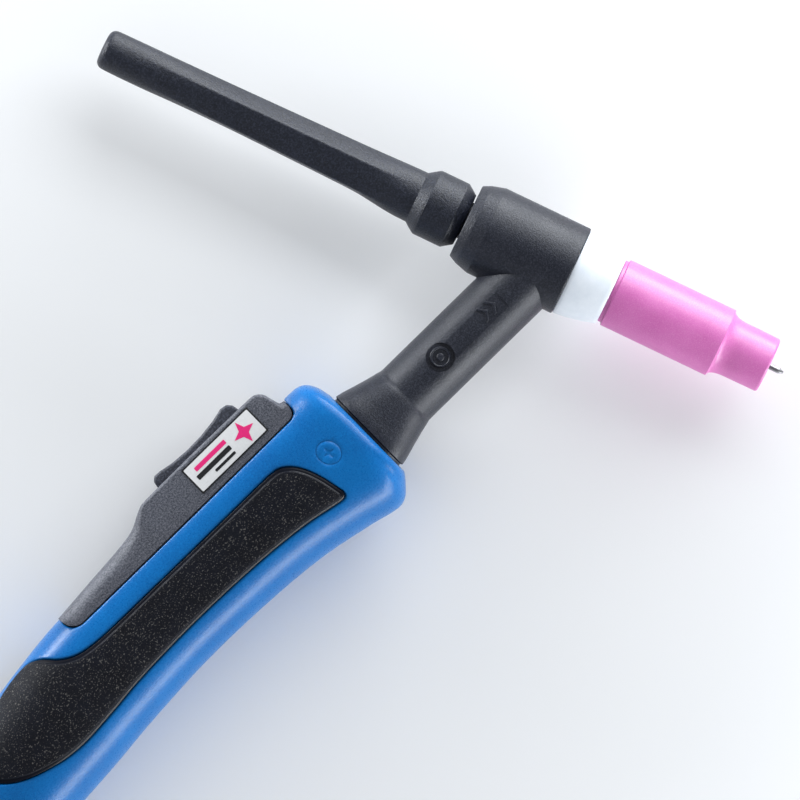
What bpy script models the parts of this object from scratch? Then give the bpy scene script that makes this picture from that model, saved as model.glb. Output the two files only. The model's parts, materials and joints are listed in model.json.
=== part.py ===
"""A hand-held TIG welding torch, lying on its side.

Row frame: metres, +Z up. +X runs along the handle towards the head, +Y is the switch side.
The origin lies on the table under the middle of the torch's box.

Every length below is in millimetres. "station" is a distance behind the crossing of the head's and
the neck's centrelines, so a station s lies at x = -s in the handle's own frame.
"""

import math

import bmesh
import bpy
from mathutils import Vector

MM = 0.001
GAP = 0.3                      # clearance left between pieces that meet

# ---- places --------------------------------------------------------------------------------------
HEAD_ANGLE = -70.0             # the nozzle's direction, in degrees from +X
CROSSING = (102.2, -27.7, 16.8)  # where head and neck centrelines cross, in the row frame

# ---- head, along its own axis: x grows towards the nozzle ----------------------------------------
HEAD_REAR, HEAD_FRONT = -22.5, 7.5
HEAD_RADIUS = 12.0
HEAD_BORE = 9.3
CAP_OPENING = 7.2
CORE_RADIUS = 9.0
CORE_REAR, CORE_FRONT = -20.3, 7.2
CAP_THREAD_BORE = 5.3
COLLET_BODY_BORE = 5.5
INSULATOR_FRONT = 18.7
NOZZLE_REAR, NOZZLE_FRONT = 19.0, 63.8
NOZZLE_RADIUS, NOZZLE_TIP_RADIUS = 9.25, 7.45
NOZZLE_THREAD_BORE, NOZZLE_THROAT = 6.7, 4.75
ELECTRODE_RADIUS, ELECTRODE_LENGTH, ELECTRODE_TIP = 0.8, 175.0, 67.9
COLLET_RADIUS, COLLET_BORE = 1.95, 1.2
COLLET_REAR, COLLET_FRONT = -9.7, 44.0
CAP_END, CAP_SHOULDER, CAP_STEM_END = -125.9, -22.8, -10.0
CAP_COLLAR_RADIUS, CAP_COLLAR_REAR = 8.95, -36.5
CAP_NECK_RADIUS = 6.95
CAP_STEM_RADIUS, CAP_BORE = 5.0, 2.0
CAP_FLATS, CAP_FLAT_PHASE = 5, 20.0
SEAL_RING_RADIUS, SEAL_SECTION_RADIUS, SEAL_X = 6.1, 0.75, -21.5

# ---- neck: station, half height, half width, squareness of the section ---------------------------
NECK = [
    (0.0, 8.8, 10.0, 2.0),
    (50.0, 8.8, 10.0, 2.0),
    (53.0, 9.3, 10.2, 2.2),
    (58.0, 10.8, 11.0, 2.6),
    (65.0, 12.7, 12.0, 3.0),
    (73.0, 12.7, 12.0, 3.0),
]
NECK_BORE_HEIGHT, NECK_BORE_WIDTH, NECK_BORE_START = 6.6, 7.8, 6.0
STUB_RADIUS, STUB_START, STUB_END = 6.2, 6.0, 20.0

# ---- handle: station, top, bottom, half width ----------------------------------------------------
HANDLE = [
    (64.2, 13.9, -13.9, 13.4),
    (64.8, 16.6, -14.8, 14.8),
    (66.2, 19.3, -16.4, 15.7),
    (68.4, 20.8, -18.6, 16.0),
    (71.5, 21.1, -19.5, 16.0),
    (80.0, 21.1, -17.6, 16.0),
    (95.0, 21.1, -14.8, 15.6),
    (115.0, 21.1, -13.3, 15.2),
    (135.0, 21.2, -13.1, 15.2),
    (155.0, 21.0, -14.3, 15.8),
    (170.0, 19.4, -15.8, 16.3),
    (188.0, 16.4, -17.2, 16.0),
    (203.0, 12.4, -19.0, 15.3),
    (212.0, 10.3, -19.3, 14.8),
]
HANDLE_FRONT, HANDLE_REAR = HANDLE[0][0], HANDLE[-1][0]
HANDLE_STATIONS = [
    76.0, 82.0, 92.0, 104.0, 118.0, 132.0, 146.0, 158.0, 170.0, 182.0, 193.0, 203.0, HANDLE_REAR,
]
SQUARE_TOP, SQUARE_BOTTOM = 3.0, 2.3       # section exponents; the rear end turns round
ROUNDING_START = 165.0
WALL = 2.4
MOUTH_DEPTH = 7.0                          # how far the mouth grips the neck's foot
MOUTH_HEIGHT, MOUTH_WIDTH, MOUTH_SQUARE = 13.0, 12.3, 3.0
PAD_DEPTH, PAD_PROUD = 1.2, 0.5

# The grip pad's edge, as (station, height), from its front tip along the belly side and back.
PAD_EDGE = [
    (79.0, -5.0), (78.75, -6.6), (79.3, -7.8), (80.8, -8.1), (84.5, -7.4), (90.0, -6.3), (97.0, -5.4),
    (105.0, -4.7), (116.0, -4.2), (128.0, -4.0), (139.0, -4.2), (150.0, -4.7), (160.0, -5.7), (170.0, -6.4),
    (177.0, -5.9), (183.0, -4.4), (188.0, -2.5), (192.5, 0.4), (195.7, 4.3), (196.0, 8.0), (193.5, 11.6),
    (188.0, 14.6), (178.0, 17.4), (171.5, 18.5), (167.3, 18.6), (164.0, 17.0), (160.5, 13.5), (156.5, 11.3),
    (151.0, 10.3), (143.0, 10.0), (130.0, 9.9), (115.0, 9.8), (102.0, 9.8), (93.5, 9.8),
    (88.9, 9.7), (86.0, 9.0),
    (83.3, 6.7), (81.3, 3.3), (79.9, -0.8),
]
PAD_EDGE_STEPS = 2                         # points drawn for each one of them

# ---- switch module: station, top, corner radius --------------------------------------------------
MODULE_SEAM = 16.0
MODULE_HALF_WIDTH = 13.3
MODULE_WALL = 1.6
MODULE = [
    (73.7, 20.9, 4.0),
    (75.2, 21.6, 3.5),
    (75.9, 24.8, 1.8),
    (77.2, 26.8, 1.0),
    (79.5, 27.3, 0.9),
    (117.5, 27.3, 0.9),
    (120.5, 26.3, 1.8),
    (124.5, 24.3, 3.2),
    (130.0, 23.3, 4.0),
    (141.0, 22.4, 4.3),
    (153.5, 21.3, 4.3),
]
POCKET_FRONT, POCKET_REAR = 73.4, 153.8
POCKET_FRONT_CORNER, POCKET_REAR_CORNER = 2.6, 4.2
LABEL_FRONT, LABEL_REAR, LABEL_BOTTOM, LABEL_TOP = 81.4, 104.8, 18.1, 26.3
LABEL_RECESS, LABEL_THICKNESS = 0.7, 0.5

# ---- rocker, seen from the side: station, height -------------------------------------------------
ROCKER_TOP = [
    (83.4, 26.6), (83.9, 29.3), (84.9, 30.4), (86.4, 30.6), (90.0, 29.9), (95.0, 29.25), (100.0, 29.1),
    (105.0, 29.4), (109.0, 30.1), (110.7, 30.1), (111.7, 29.3), (112.4, 26.6),
]
ROCKER_HALF_WIDTH, ROCKER_FLOOR = 6.1, 25.3
ROCKER_SLOT = (82.9, 112.9, 6.5)           # front, rear, half width
PIVOT_STATION, PIVOT_HEIGHT, PIN_RADIUS = 97.9, 22.8, 1.0
WEB_HALF_LENGTH, WEB_HALF_WIDTH = 2.6, 4.0
LUG_REACH, LUG_RADIUS, LUG_END = 9.0, 1.6, 21.6
PLUNGER_RADIUS, PLUNGER_TOP, PLUNGER_FOOT = 1.3, 21.3, 18.4
MICROSWITCH = (6.4, 3.6, 16.2, 19.9)       # length, half width, bottom, top
BOARD = (82.5, 116.5, 7.8, 14.7, 15.9)     # front, rear, half width, bottom, top
CARRIER = (81.0, 118.0, 10.3, 12.9, 14.4)
EAR_HALF_LENGTH, EAR_INSIDE, EAR_OUTSIDE, EAR_TOP = 3.6, 8.2, 9.8, 24.6

# ---- lines in the neck, as (name, height, sideways place) ----------------------------------------
LINES = [("gas", 3.2, 0.0), ("water_supply", -2.2, 3.7), ("power_return", -2.2, -3.7)]
TUBE_RADIUS, TUBE_BORE, TUBE_START, TUBE_END = 2.3, 1.5, 20.3, 96.0

# ---- screws through the right shell, as (name, station, height, head's depth from the middle) ----
SCREWS = [("front", 84.5, -12.0, 6.6), ("middle", 128.0, -8.6, 6.6), ("rear", 194.0, -10.5, 9.6)]
SCREW_HEAD_RADIUS, SCREW_HEAD_HEIGHT, SCREW_RADIUS, SCREW_REACH = 2.5, 1.6, 1.4, 5.5
BOSS_RADIUS, BOSS_PILOT_DEPTH = 4.0, 6.2

# ---- rear cable inlet, about its own axis --------------------------------------------------------
INLET_HEIGHT = -4.5
BALL_CENTRE, BALL_RADIUS = 210.0, 11.3
COLLAR_RADIUS, COLLAR_REAR, SPIGOT_RADIUS, SPIGOT_START = 14.6, 215.2, 11.8, 204.5
OUTLET_RADIUS, OUTLET_END, INLET_BORE = 8.6, 233.0, 7.2

# ---- materials: colour, roughness, metallic ------------------------------------------------------
MATERIALS = {
    "head_rubber": ((0.035, 0.038, 0.048), 0.62, 0.0),
    "blue_plastic": ((0.0, 0.16, 0.48), 0.36, 0.0),
    "grip_rubber": ((0.012, 0.013, 0.016), 0.8, 0.0),
    "grey_plastic": ((0.075, 0.078, 0.09), 0.6, 0.0),
    "cap_plastic": ((0.02, 0.021, 0.026), 0.42, 0.0),
    "pink_ceramic": ((0.72, 0.2, 0.46), 0.45, 0.0),
    "white_ptfe": ((0.82, 0.87, 0.92), 0.4, 0.0),
    "brass": ((0.7, 0.5, 0.2), 0.3, 1.0),
    "copper": ((0.75, 0.4, 0.27), 0.3, 1.0),
    "tungsten": ((0.5, 0.5, 0.5), 0.35, 1.0),
    "label": ((0.85, 0.85, 0.85), 0.5, 0.0),
    "steel": ((0.6, 0.6, 0.62), 0.3, 1.0),
    "seal_rubber": ((0.02, 0.02, 0.02), 0.7, 0.0),
    "board": ((0.02, 0.2, 0.08), 0.5, 0.0),
}


ALONG_Z = (0.0, math.radians(-90), 0.0)     # turns a piece made along X to stand along Z


# ---- building helpers ----------------------------------------------------------------------------
def material(name):
    found = bpy.data.materials.get(name)
    if found:
        return found
    colour, roughness, metallic = MATERIALS[name]
    made = bpy.data.materials.new(name)
    made.use_nodes = True
    shader = made.node_tree.nodes["Principled BSDF"]
    shader.inputs["Base Color"].default_value = (*colour, 1.0)
    shader.inputs["Roughness"].default_value = roughness
    shader.inputs["Metallic"].default_value = metallic
    made.diffuse_color = (*colour, 1.0)
    return made


def piece(name, bm, frame, finish=None, at=(0.0, 0.0, 0.0)):
    """Turns a bmesh in millimetres into a named object in the given frame; with no finish it is a cutter."""
    bmesh.ops.recalc_face_normals(bm, faces=bm.faces)
    bmesh.ops.scale(bm, vec=(MM, MM, MM), verts=bm.verts)
    mesh = bpy.data.meshes.new(name)
    bm.to_mesh(mesh)
    bm.free()
    made = bpy.data.objects.new(name, mesh)
    bpy.context.scene.collection.objects.link(made)
    made.parent = frame
    made.location = Vector(at) * MM
    if finish is None:
        made.hide_render = True
        made.display_type = "WIRE"
    else:
        mesh.materials.append(material(finish))
        mesh.shade_smooth()
        mesh.set_sharp_from_angle(angle=math.radians(35))
    return made


def boolean(target, operation, *tools):
    for tool in tools:
        modifier = target.modifiers.new(f"{operation.lower()}_{tool.name}", "BOOLEAN")
        modifier.operation = operation
        modifier.solver = "EXACT"
        modifier.object = tool
    return target


def turned(profile, steps=32):
    """A profile of (x, radius) points spun round X; it closes on itself unless both ends lie on the axis."""
    bm = bmesh.new()
    verts = [bm.verts.new((x, r, 0.0)) for x, r in profile]
    edges = [bm.edges.new(pair) for pair in zip(verts, verts[1:])]
    if profile[0][1] > 0:
        edges.append(bm.edges.new((verts[-1], verts[0])))
    bmesh.ops.spin(bm, geom=verts + edges, axis=(1, 0, 0), cent=(0, 0, 0), angle=math.tau, steps=steps,
                   use_merge=True)
    bmesh.ops.remove_doubles(bm, verts=bm.verts, dist=0.0005)
    return bm


def prism(outline, low, high):
    """An outline of (x, y) points, extruded from z = low to z = high."""
    bm = bmesh.new()
    face = bm.faces.new([bm.verts.new((x, y, low)) for x, y in outline])
    made = bmesh.ops.extrude_face_region(bm, geom=[face])
    moved = [v for v in made["geom"] if isinstance(v, bmesh.types.BMVert)]
    bmesh.ops.translate(bm, vec=(0, 0, high - low), verts=moved)
    return bm


def box(x0, x1, y0, y1, z0, z1):
    return prism([(x0, y0), (x1, y0), (x1, y1), (x0, y1)], z0, z1)


def rod(x, y, radius, low, high, steps=24):
    """A cylinder along Z."""
    turn = [math.tau * i / steps for i in range(steps)]
    return prism([(x + radius * math.cos(a), y + radius * math.sin(a)) for a in turn], low, high)


def loft(rings, closed_ends=True):
    """Quads between rings of equal length, with a face over each end."""
    bm = bmesh.new()
    rows = [[bm.verts.new(point) for point in ring] for ring in rings]
    count = len(rows[0])
    for a, b in zip(rows, rows[1:]):
        for i in range(count):
            j = (i + 1) % count
            bm.faces.new((a[i], a[j], b[j], b[i]))
    if closed_ends:
        bm.faces.new(rows[0])
        bm.faces.new(rows[-1])
    return bm


def smooth_at(table, s):
    """The table's values at station s, by Catmull-Rom curves through its rows."""
    stations = [row[0] for row in table]
    s = min(max(s, stations[0]), stations[-1])
    i = max(k for k in range(len(table) - 1) if stations[k] <= s)
    near = [table[max(i - 1, 0)], table[i], table[i + 1], table[min(i + 2, len(table) - 1)]]
    span = near[2][0] - near[1][0]
    t = (s - near[1][0]) / span
    values = []
    for k in range(1, len(table[0])):
        before = (near[2][k] - near[0][k]) / max(near[2][0] - near[0][0], 1e-9) * span
        after = (near[3][k] - near[1][k]) / max(near[3][0] - near[1][0], 1e-9) * span
        values.append(
            near[1][k] * (2 * t**3 - 3 * t**2 + 1) + before * (t**3 - 2 * t**2 + t)
            + near[2][k] * (3 * t**2 - 2 * t**3) + after * (t**3 - t**2)
        )
    return values


def smooth_loop(points, per_span):
    """A closed Catmull-Rom curve through the points."""
    count, curve = len(points), []
    for i in range(count):
        a, b, c, d = (Vector(points[(i + k) % count]) for k in (-1, 0, 1, 2))
        for step in range(per_span):
            t = step / per_span
            curve.append(0.5 * ((2 * b) + (c - a) * t + (2 * a - 5 * b + 4 * c - d) * t**2
                                + (3 * b - a - 3 * c + d) * t**3))
    return curve


def signed_power(value, power):
    return math.copysign(abs(value) ** power, value)


def section_point(angle, top, bottom, half_width, square_top, square_bottom):
    """A point of a squarish oval section as (height, sideways): 0 is the +Z side, 90 degrees the top."""
    middle, half_height = (top + bottom) / 2, (top - bottom) / 2
    power = 2 / (square_top if math.sin(angle) >= 0 else square_bottom)
    height = middle + half_height * signed_power(math.sin(angle), power)
    return height, half_width * signed_power(math.cos(angle), power)


# ---- the handle's surface ------------------------------------------------------------------------
def handle_section(s, angle, offset):
    """A point of the handle's surface at station s, moved out by offset, as (height, sideways)."""
    top, bottom, half_width = smooth_at(HANDLE, s)
    turned_round = min(max((s - ROUNDING_START) / (HANDLE_REAR - ROUNDING_START), 0.0), 1.0)
    square_top = SQUARE_TOP + (2.0 - SQUARE_TOP) * turned_round
    square_bottom = SQUARE_BOTTOM + (2.0 - SQUARE_BOTTOM) * turned_round
    return section_point(angle, top + offset, bottom - offset, half_width + offset, square_top, square_bottom)


def mouth_section(s, angle):
    """The handle's inner face: the mouth round the neck's foot, then the hollow inside the wall."""
    mouth = section_point(angle, MOUTH_HEIGHT, -MOUTH_HEIGHT, MOUTH_WIDTH, MOUTH_SQUARE, MOUTH_SQUARE)
    if s < HANDLE_FRONT + MOUTH_DEPTH:
        return mouth
    return handle_section(s, angle, -WALL)


def half_band(stations, outer, inner, side, low_angle=-90.0, high_angle=90.0, steps=12, part_gap=0.0):
    """A closed half tube between two surfaces, each a function of (station, angle).
    side is 1 for the left half and -1 for the right one."""
    angles = [math.radians(low_angle + (high_angle - low_angle) * k / steps) for k in range(steps + 1)]
    bm = bmesh.new()

    def grid(surface):
        rows = []
        for s in stations:
            row = []
            for a in angles:
                height, sideways = surface(s, a)
                row.append(bm.verts.new((-s, height, side * max(sideways, part_gap))))
            rows.append(row)
        return rows

    out, back = grid(outer), grid(inner)
    last_row, last_angle = len(stations) - 1, len(angles) - 1
    for i in range(last_row):
        for k in range(last_angle):
            bm.faces.new((out[i][k], out[i + 1][k], out[i + 1][k + 1], out[i][k + 1]))
            bm.faces.new((back[i][k], back[i][k + 1], back[i + 1][k + 1], back[i + 1][k]))
        for k in (0, last_angle):
            bm.faces.new((out[i][k], out[i + 1][k], back[i + 1][k], back[i][k]))
    for i in (0, last_row):
        for k in range(last_angle):
            bm.faces.new((out[i][k], out[i][k + 1], back[i][k + 1], back[i][k]))
    return bm


def arc(centre_x, centre_y, radius, start, end, steps=6):
    turn = [math.radians(start + (end - start) * i / steps) for i in range(steps + 1)]
    return [(centre_x + radius * math.cos(a), centre_y + radius * math.sin(a)) for a in turn]


def pocket_outline(grow):
    """The module's opening in the handle, seen from the side; grow widens it."""
    front, rear, seam = -(POCKET_FRONT - grow), -(POCKET_REAR + grow), MODULE_SEAM - grow
    above = MODULE_SEAM + 15.0
    fc, rc = POCKET_FRONT_CORNER, POCKET_REAR_CORNER
    rear_corner = arc(rear + rc, seam + rc, rc, 180, 270)
    front_corner = arc(front - fc, seam + fc, fc, 270, 360)
    return [(rear, above)] + rear_corner + front_corner + [(front, above)]


# ---- head pieces ---------------------------------------------------------------------------------
def make_head(head_frame, body_frame):
    """The moulded cover of head and neck, and the brass core inside it."""
    cover = piece("head_insulation", turned([
        (HEAD_REAR, 0.0), (HEAD_REAR, 9.4), (HEAD_REAR + 0.5, 10.3), (HEAD_REAR + 2.0, 11.2),
        (HEAD_REAR + 5.5, HEAD_RADIUS), (HEAD_FRONT - 0.5, HEAD_RADIUS), (HEAD_FRONT, HEAD_RADIUS - 0.4),
        (HEAD_FRONT, 0.0)], 30), head_frame, "head_rubber")
    rings = []
    for s in [0.0, 50.0, 52.5, 55.5, 58.5, 61.5, 65.0, NECK[-1][0]]:
        half_height, half_width, square = smooth_at(NECK, s)
        ring = [section_point(math.tau * k / 24, half_height, -half_height, half_width, square, square)
                for k in range(24)]
        rings.append([(-s, height, sideways) for height, sideways in ring])
    neck = piece("neck_form", loft(rings), body_frame)
    bore = piece("head_bore_cutter", turned([
        (HEAD_REAR - 5, 0.0), (HEAD_REAR - 5, CAP_OPENING), (CORE_REAR - GAP, CAP_OPENING),
        (CORE_REAR - GAP, HEAD_BORE), (HEAD_FRONT + 5, HEAD_BORE), (HEAD_FRONT + 5, 0.0)], 24), head_frame)
    hollow_rings = []
    for s in (NECK_BORE_START, NECK[-1][0] + 5):
        turn = [math.tau * k / 20 for k in range(20)]
        ring = [(-s, NECK_BORE_HEIGHT * math.sin(a), NECK_BORE_WIDTH * math.cos(a)) for a in turn]
        hollow_rings.append(ring)
    hollow = piece("neck_bore_cutter", loft(hollow_rings), body_frame)
    boolean(cover, "UNION", neck)
    boolean(cover, "DIFFERENCE", bore, hollow)

    core = piece("torch_body_core", turned([
        (CORE_REAR, 0.0), (CORE_REAR, CORE_RADIUS), (CORE_FRONT, CORE_RADIUS), (CORE_FRONT, 0.0)], 24),
        head_frame, "brass")
    stub = piece("core_stub_form", turned([
        (-STUB_END, 0.0), (-STUB_END, STUB_RADIUS), (-STUB_START, STUB_RADIUS), (-STUB_START, 0.0)], 20),
        body_frame)
    core_bore = piece("core_bore_cutter", turned([
        (CORE_REAR - 5, 0.0), (CORE_REAR - 5, CAP_THREAD_BORE), (-9.0, CAP_THREAD_BORE), (-9.0, 3.0),
        (-2.3, 3.0), (-2.3, COLLET_BODY_BORE), (CORE_FRONT + 5, COLLET_BODY_BORE),
        (CORE_FRONT + 5, 0.0)], 20), head_frame)
    boolean(core, "UNION", stub)
    boolean(core, "DIFFERENCE", core_bore)


def make_front_end(head_frame):
    """Insulator, collet body, collet, electrode and gas nozzle."""
    rear = HEAD_FRONT + GAP
    piece("insulator_ring", turned([
        (rear, 7.2), (rear, 11.2), (rear + 0.4, 11.6), (11.5, 11.2), (15.5, 10.4),
        (INSULATOR_FRONT - 0.3, 9.5), (INSULATOR_FRONT, 9.2), (INSULATOR_FRONT, 6.8), (11.2, 6.8),
        (11.2, 7.2)], 30), head_frame, "white_ptfe")

    body = piece("collet_body", turned([
        (-2.0, 5.2), (HEAD_FRONT, 5.2), (HEAD_FRONT, 6.8), (10.9, 6.8), (10.9, 6.3), (31.0, 6.3), (32.0, 5.2),
        (43.5, 5.2), (47.0, 3.2), (47.0, 1.3), (45.0, 1.3), (43.6, 2.3), (-2.0, 2.3)], 18),
        head_frame, "copper")
    for k in range(4):
        drill = turned([(2.0, 0.0), (2.0, 0.8), (8.0, 0.8), (8.0, 0.0)], 8)
        hole = piece(f"gas_hole_cutter_{k}", drill, head_frame, at=(36.5, 0, 0))
        hole.rotation_euler = (math.radians(90 * k + 45), 0, 0)
        hole.rotation_euler.rotate_axis("Z", math.radians(90))
        boolean(body, "DIFFERENCE", hole)

    collet = piece("collet", turned([
        (COLLET_REAR, COLLET_BORE), (COLLET_REAR, COLLET_RADIUS), (42.5, COLLET_RADIUS),
        (COLLET_FRONT, COLLET_BORE + 0.35), (COLLET_FRONT, COLLET_BORE)], 16), head_frame, "copper")
    slit = 0.25
    slots = piece("collet_slot_cutter", box(28.0, COLLET_FRONT + 3, -slit, slit, -4, 4), head_frame)
    boolean(collet, "DIFFERENCE", slots)

    piece("tungsten_electrode", turned([
        (ELECTRODE_TIP - ELECTRODE_LENGTH, 0.0), (ELECTRODE_TIP - ELECTRODE_LENGTH, ELECTRODE_RADIUS),
        (ELECTRODE_TIP - 1.0, ELECTRODE_RADIUS), (ELECTRODE_TIP, 0.3), (ELECTRODE_TIP, 0.0)], 16),
        head_frame, "tungsten")

    step = NOZZLE_RADIUS - NOZZLE_TIP_RADIUS
    shoulder = [(50.0 + 4.2 * t, NOZZLE_RADIUS - step * math.sin(math.pi / 2 * t))
                for t in (1 / 3, 2 / 3, 1.0)]
    outside = ([(NOZZLE_REAR, 7.6), (NOZZLE_REAR, 8.6), (19.9, 8.6), (20.1, NOZZLE_RADIUS),
                (50.0, NOZZLE_RADIUS)]
               + shoulder
               + [(NOZZLE_FRONT - 0.7, NOZZLE_TIP_RADIUS), (NOZZLE_FRONT - 0.2, 7.2), (NOZZLE_FRONT, 6.8)])
    inside = [(NOZZLE_FRONT, 5.1), (NOZZLE_FRONT - 0.4, NOZZLE_THROAT), (54.0, NOZZLE_THROAT), (49.0, 6.9),
              (33.0, 6.9), (33.0, NOZZLE_THREAD_BORE), (NOZZLE_REAR + 0.9, NOZZLE_THREAD_BORE)]
    piece("gas_nozzle", turned(outside + inside, 30), head_frame, "pink_ceramic")


def cap_ring(x, radius, flat_share, steps):
    """A ring of the cap's tail: round, with flats cut into it by a share of their full depth."""
    ring, pitch = [], math.tau / CAP_FLATS
    for k in range(steps):
        angle = math.tau * k / steps
        from_corner = (angle % pitch) - pitch / 2
        flat = radius * math.cos(pitch / 2) / math.cos(from_corner)
        r = radius + (flat - radius) * flat_share
        turn = angle + math.radians(CAP_FLAT_PHASE)
        ring.append((x, r * math.sin(turn), r * math.cos(turn)))
    return ring


def make_back_cap(head_frame):
    """The long cap that tightens the collet, and its sealing ring."""
    # x, radius, share of the flats' depth
    tail = [(CAP_END, 3.2, 0.0), (CAP_END + 0.6, 4.5, 0.0), (CAP_END + 2.2, 5.3, 0.0), (-112.0, 5.5, 0.15),
            (-95.0, 5.75, 0.55), (-75.0, 6.15, 0.8), (-52.0, 6.6, 0.8), (-47.0, 6.7, 0.45),
            (-42.5, 6.85, 0.0), (CAP_COLLAR_REAR, CAP_NECK_RADIUS, 0.0), (-34.3, 8.7, 0.0),
            (-33.6, CAP_COLLAR_RADIUS, 0.0),
            (-25.9, CAP_COLLAR_RADIUS, 0.0), (-25.2, 8.7, 0.0), (CAP_SHOULDER, 6.9, 0.0),
            (CAP_SHOULDER + 0.01, CAP_STEM_RADIUS, 0.0), (CAP_STEM_END, CAP_STEM_RADIUS, 0.0)]
    cap_rings = [cap_ring(x, r, share, 30) for x, r, share in tail]
    cap = piece("back_cap", loft(cap_rings), head_frame, "cap_plastic")
    bore = piece("cap_bore_cutter", turned([
        (-121.5, 0.0), (-120.5, CAP_BORE), (CAP_STEM_END + 4, CAP_BORE), (CAP_STEM_END + 4, 0.0)], 16),
        head_frame)
    boolean(cap, "DIFFERENCE", bore)
    section = arc(SEAL_X, SEAL_RING_RADIUS, SEAL_SECTION_RADIUS, 0, 315, 7)
    piece("cap_o_ring", turned(section, 20), head_frame, "seal_rubber")


# ---- lines inside the neck and handle ------------------------------------------------------------
def make_lines(body_frame):
    """Three copper tubes down the neck, each ending in a barbed hose nipple inside the handle."""
    for name, height, sideways in LINES:
        at = (0, height, sideways)
        piece(f"{name}_tube", turned([
            (-TUBE_END, TUBE_BORE), (-TUBE_END, TUBE_RADIUS), (-TUBE_START, TUBE_RADIUS),
            (-TUBE_START, TUBE_BORE)], 12), body_frame, "copper", at)
        socket = TUBE_RADIUS + GAP
        barbs = []
        for x in (-100.0, -103.2, -106.4):
            barbs += [(x, 2.0), (x - 2.8, 2.6), (x - 3.0, 2.0)]
        piece(f"{name}_nipple", turned(
            [(-90.0, socket), (-90.0, 3.3), (-99.0, 3.3)] + barbs
            + [(-111.0, 1.7), (-111.0, 1.1), (-TUBE_END - GAP, 1.1), (-TUBE_END - GAP, socket)], 12),
            body_frame, "brass", at)


# ---- handle pieces -------------------------------------------------------------------------------
def pad_outline(grow):
    """The pad's edge seen from the side, as (x, y), moved out by grow."""
    curve = smooth_loop([Vector((-s, height)) for s, height in PAD_EDGE], PAD_EDGE_STEPS)
    count, out = len(curve), []
    for i, point in enumerate(curve):
        along = (curve[(i + 1) % count] - curve[i - 1]).normalized()
        out.append(point + Vector((-along.y, along.x)) * grow)
    return [(p.x, p.y) for p in out]


def make_handle(body_frame):
    """Two shells, split down the middle, with a soft pad let into each side."""
    mouth_end = HANDLE_FRONT + MOUTH_DEPTH
    stations = [row[0] for row in HANDLE[:4]] + [mouth_end - 0.2, mouth_end + 0.8] + HANDLE_STATIONS
    behind_lip = stations[3:]
    core = piece("handle_core_form", handle_core(behind_lip), body_frame)
    for side, hand in ((1, "left"), (-1, "right")):
        shell = piece(f"handle_shell_{hand}", half_band(
            stations, lambda s, a: handle_section(s, a, 0.0), mouth_section, side, part_gap=GAP / 2),
            body_frame, "blue_plastic")
        for name, s, height, depth in SCREWS:
            make_boss(shell, name, hand, side, s, height, depth, core, body_frame)
        pocket = piece(f"module_pocket_cutter_{hand}", prism(pocket_outline(0.0), -30, 30), body_frame)
        recess_form = piece(f"pad_recess_form_{hand}", half_band(
            behind_lip, lambda s, a: handle_section(s, a, 4.0),
            lambda s, a: handle_section(s, a, -PAD_DEPTH - GAP), side, -85, 85), body_frame)
        recess_edge = piece(f"pad_recess_edge_{hand}", prism(pad_outline(GAP), -30, 30), body_frame)
        boolean(recess_form, "INTERSECT", recess_edge)
        boolean(shell, "DIFFERENCE", pocket, recess_form)

        pad = piece(f"grip_pad_{hand}", half_band(
            behind_lip, lambda s, a: handle_section(s, a, PAD_PROUD),
            lambda s, a: handle_section(s, a, -PAD_DEPTH), side, -84, 84), body_frame, "grip_rubber")
        pad_edge = piece(f"pad_edge_{hand}", prism(pad_outline(0.0), -30, 30), body_frame)
        boolean(pad, "INTERSECT", pad_edge)
    for name, s, height, depth in SCREWS:
        make_screw(name, s, height, depth, body_frame)


def handle_core(stations):
    """The handle as one solid, a little inside its surface, to trim the bosses with."""
    rings = []
    for s in stations:
        ring = [handle_section(s, math.tau * k / 24, -0.8) for k in range(24)]
        rings.append([(-s, height, sideways) for height, sideways in ring])
    return loft(rings)


def make_boss(shell, name, hand, side, s, height, depth, core, frame):
    """A screw boss inside one shell: the right one seats the screw's head, the left one takes its thread."""
    low, high = sorted((side * GAP / 2, side * 20.0))
    boss = piece(f"boss_{name}_{hand}", rod(-s, height, BOSS_RADIUS, low, high), frame)
    boolean(boss, "INTERSECT", core)
    shank = SCREW_RADIUS + GAP
    if side > 0:
        hole = [(-1.0, 0.0), (-1.0, shank), (BOSS_PILOT_DEPTH, shank), (BOSS_PILOT_DEPTH, 0.0)]
    else:
        seat = SCREW_HEAD_RADIUS + GAP
        hole = [(-30.0, 0.0), (-30.0, seat), (-depth, seat), (-depth, shank), (1.0, shank), (1.0, 0.0)]
    cutter = piece(f"boss_hole_cutter_{name}_{hand}", turned(hole, 20), frame, at=(-s, height, 0))
    cutter.rotation_euler = ALONG_Z
    boolean(shell, "UNION", boss)
    boolean(shell, "DIFFERENCE", cutter)


def make_screw(name, s, height, depth, frame):
    """A slotted cylinder-head screw, put in from the right side."""
    under_head = -depth - GAP
    top = under_head - SCREW_HEAD_HEIGHT
    screw = piece(f"handle_screw_{name}", turned([
        (top, 0.0), (top, SCREW_HEAD_RADIUS), (under_head, SCREW_HEAD_RADIUS), (under_head, SCREW_RADIUS),
        (SCREW_REACH, SCREW_RADIUS), (SCREW_REACH, 0.0)], 20), frame, "steel", (-s, height, 0))
    slot = piece(f"screw_slot_cutter_{name}", box(top - 1, top + 0.7, -3, 3, -0.35, 0.35), frame,
                 at=(-s, height, 0))
    for made in (screw, slot):
        made.rotation_euler = ALONG_Z
    boolean(screw, "DIFFERENCE", slot)


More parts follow.
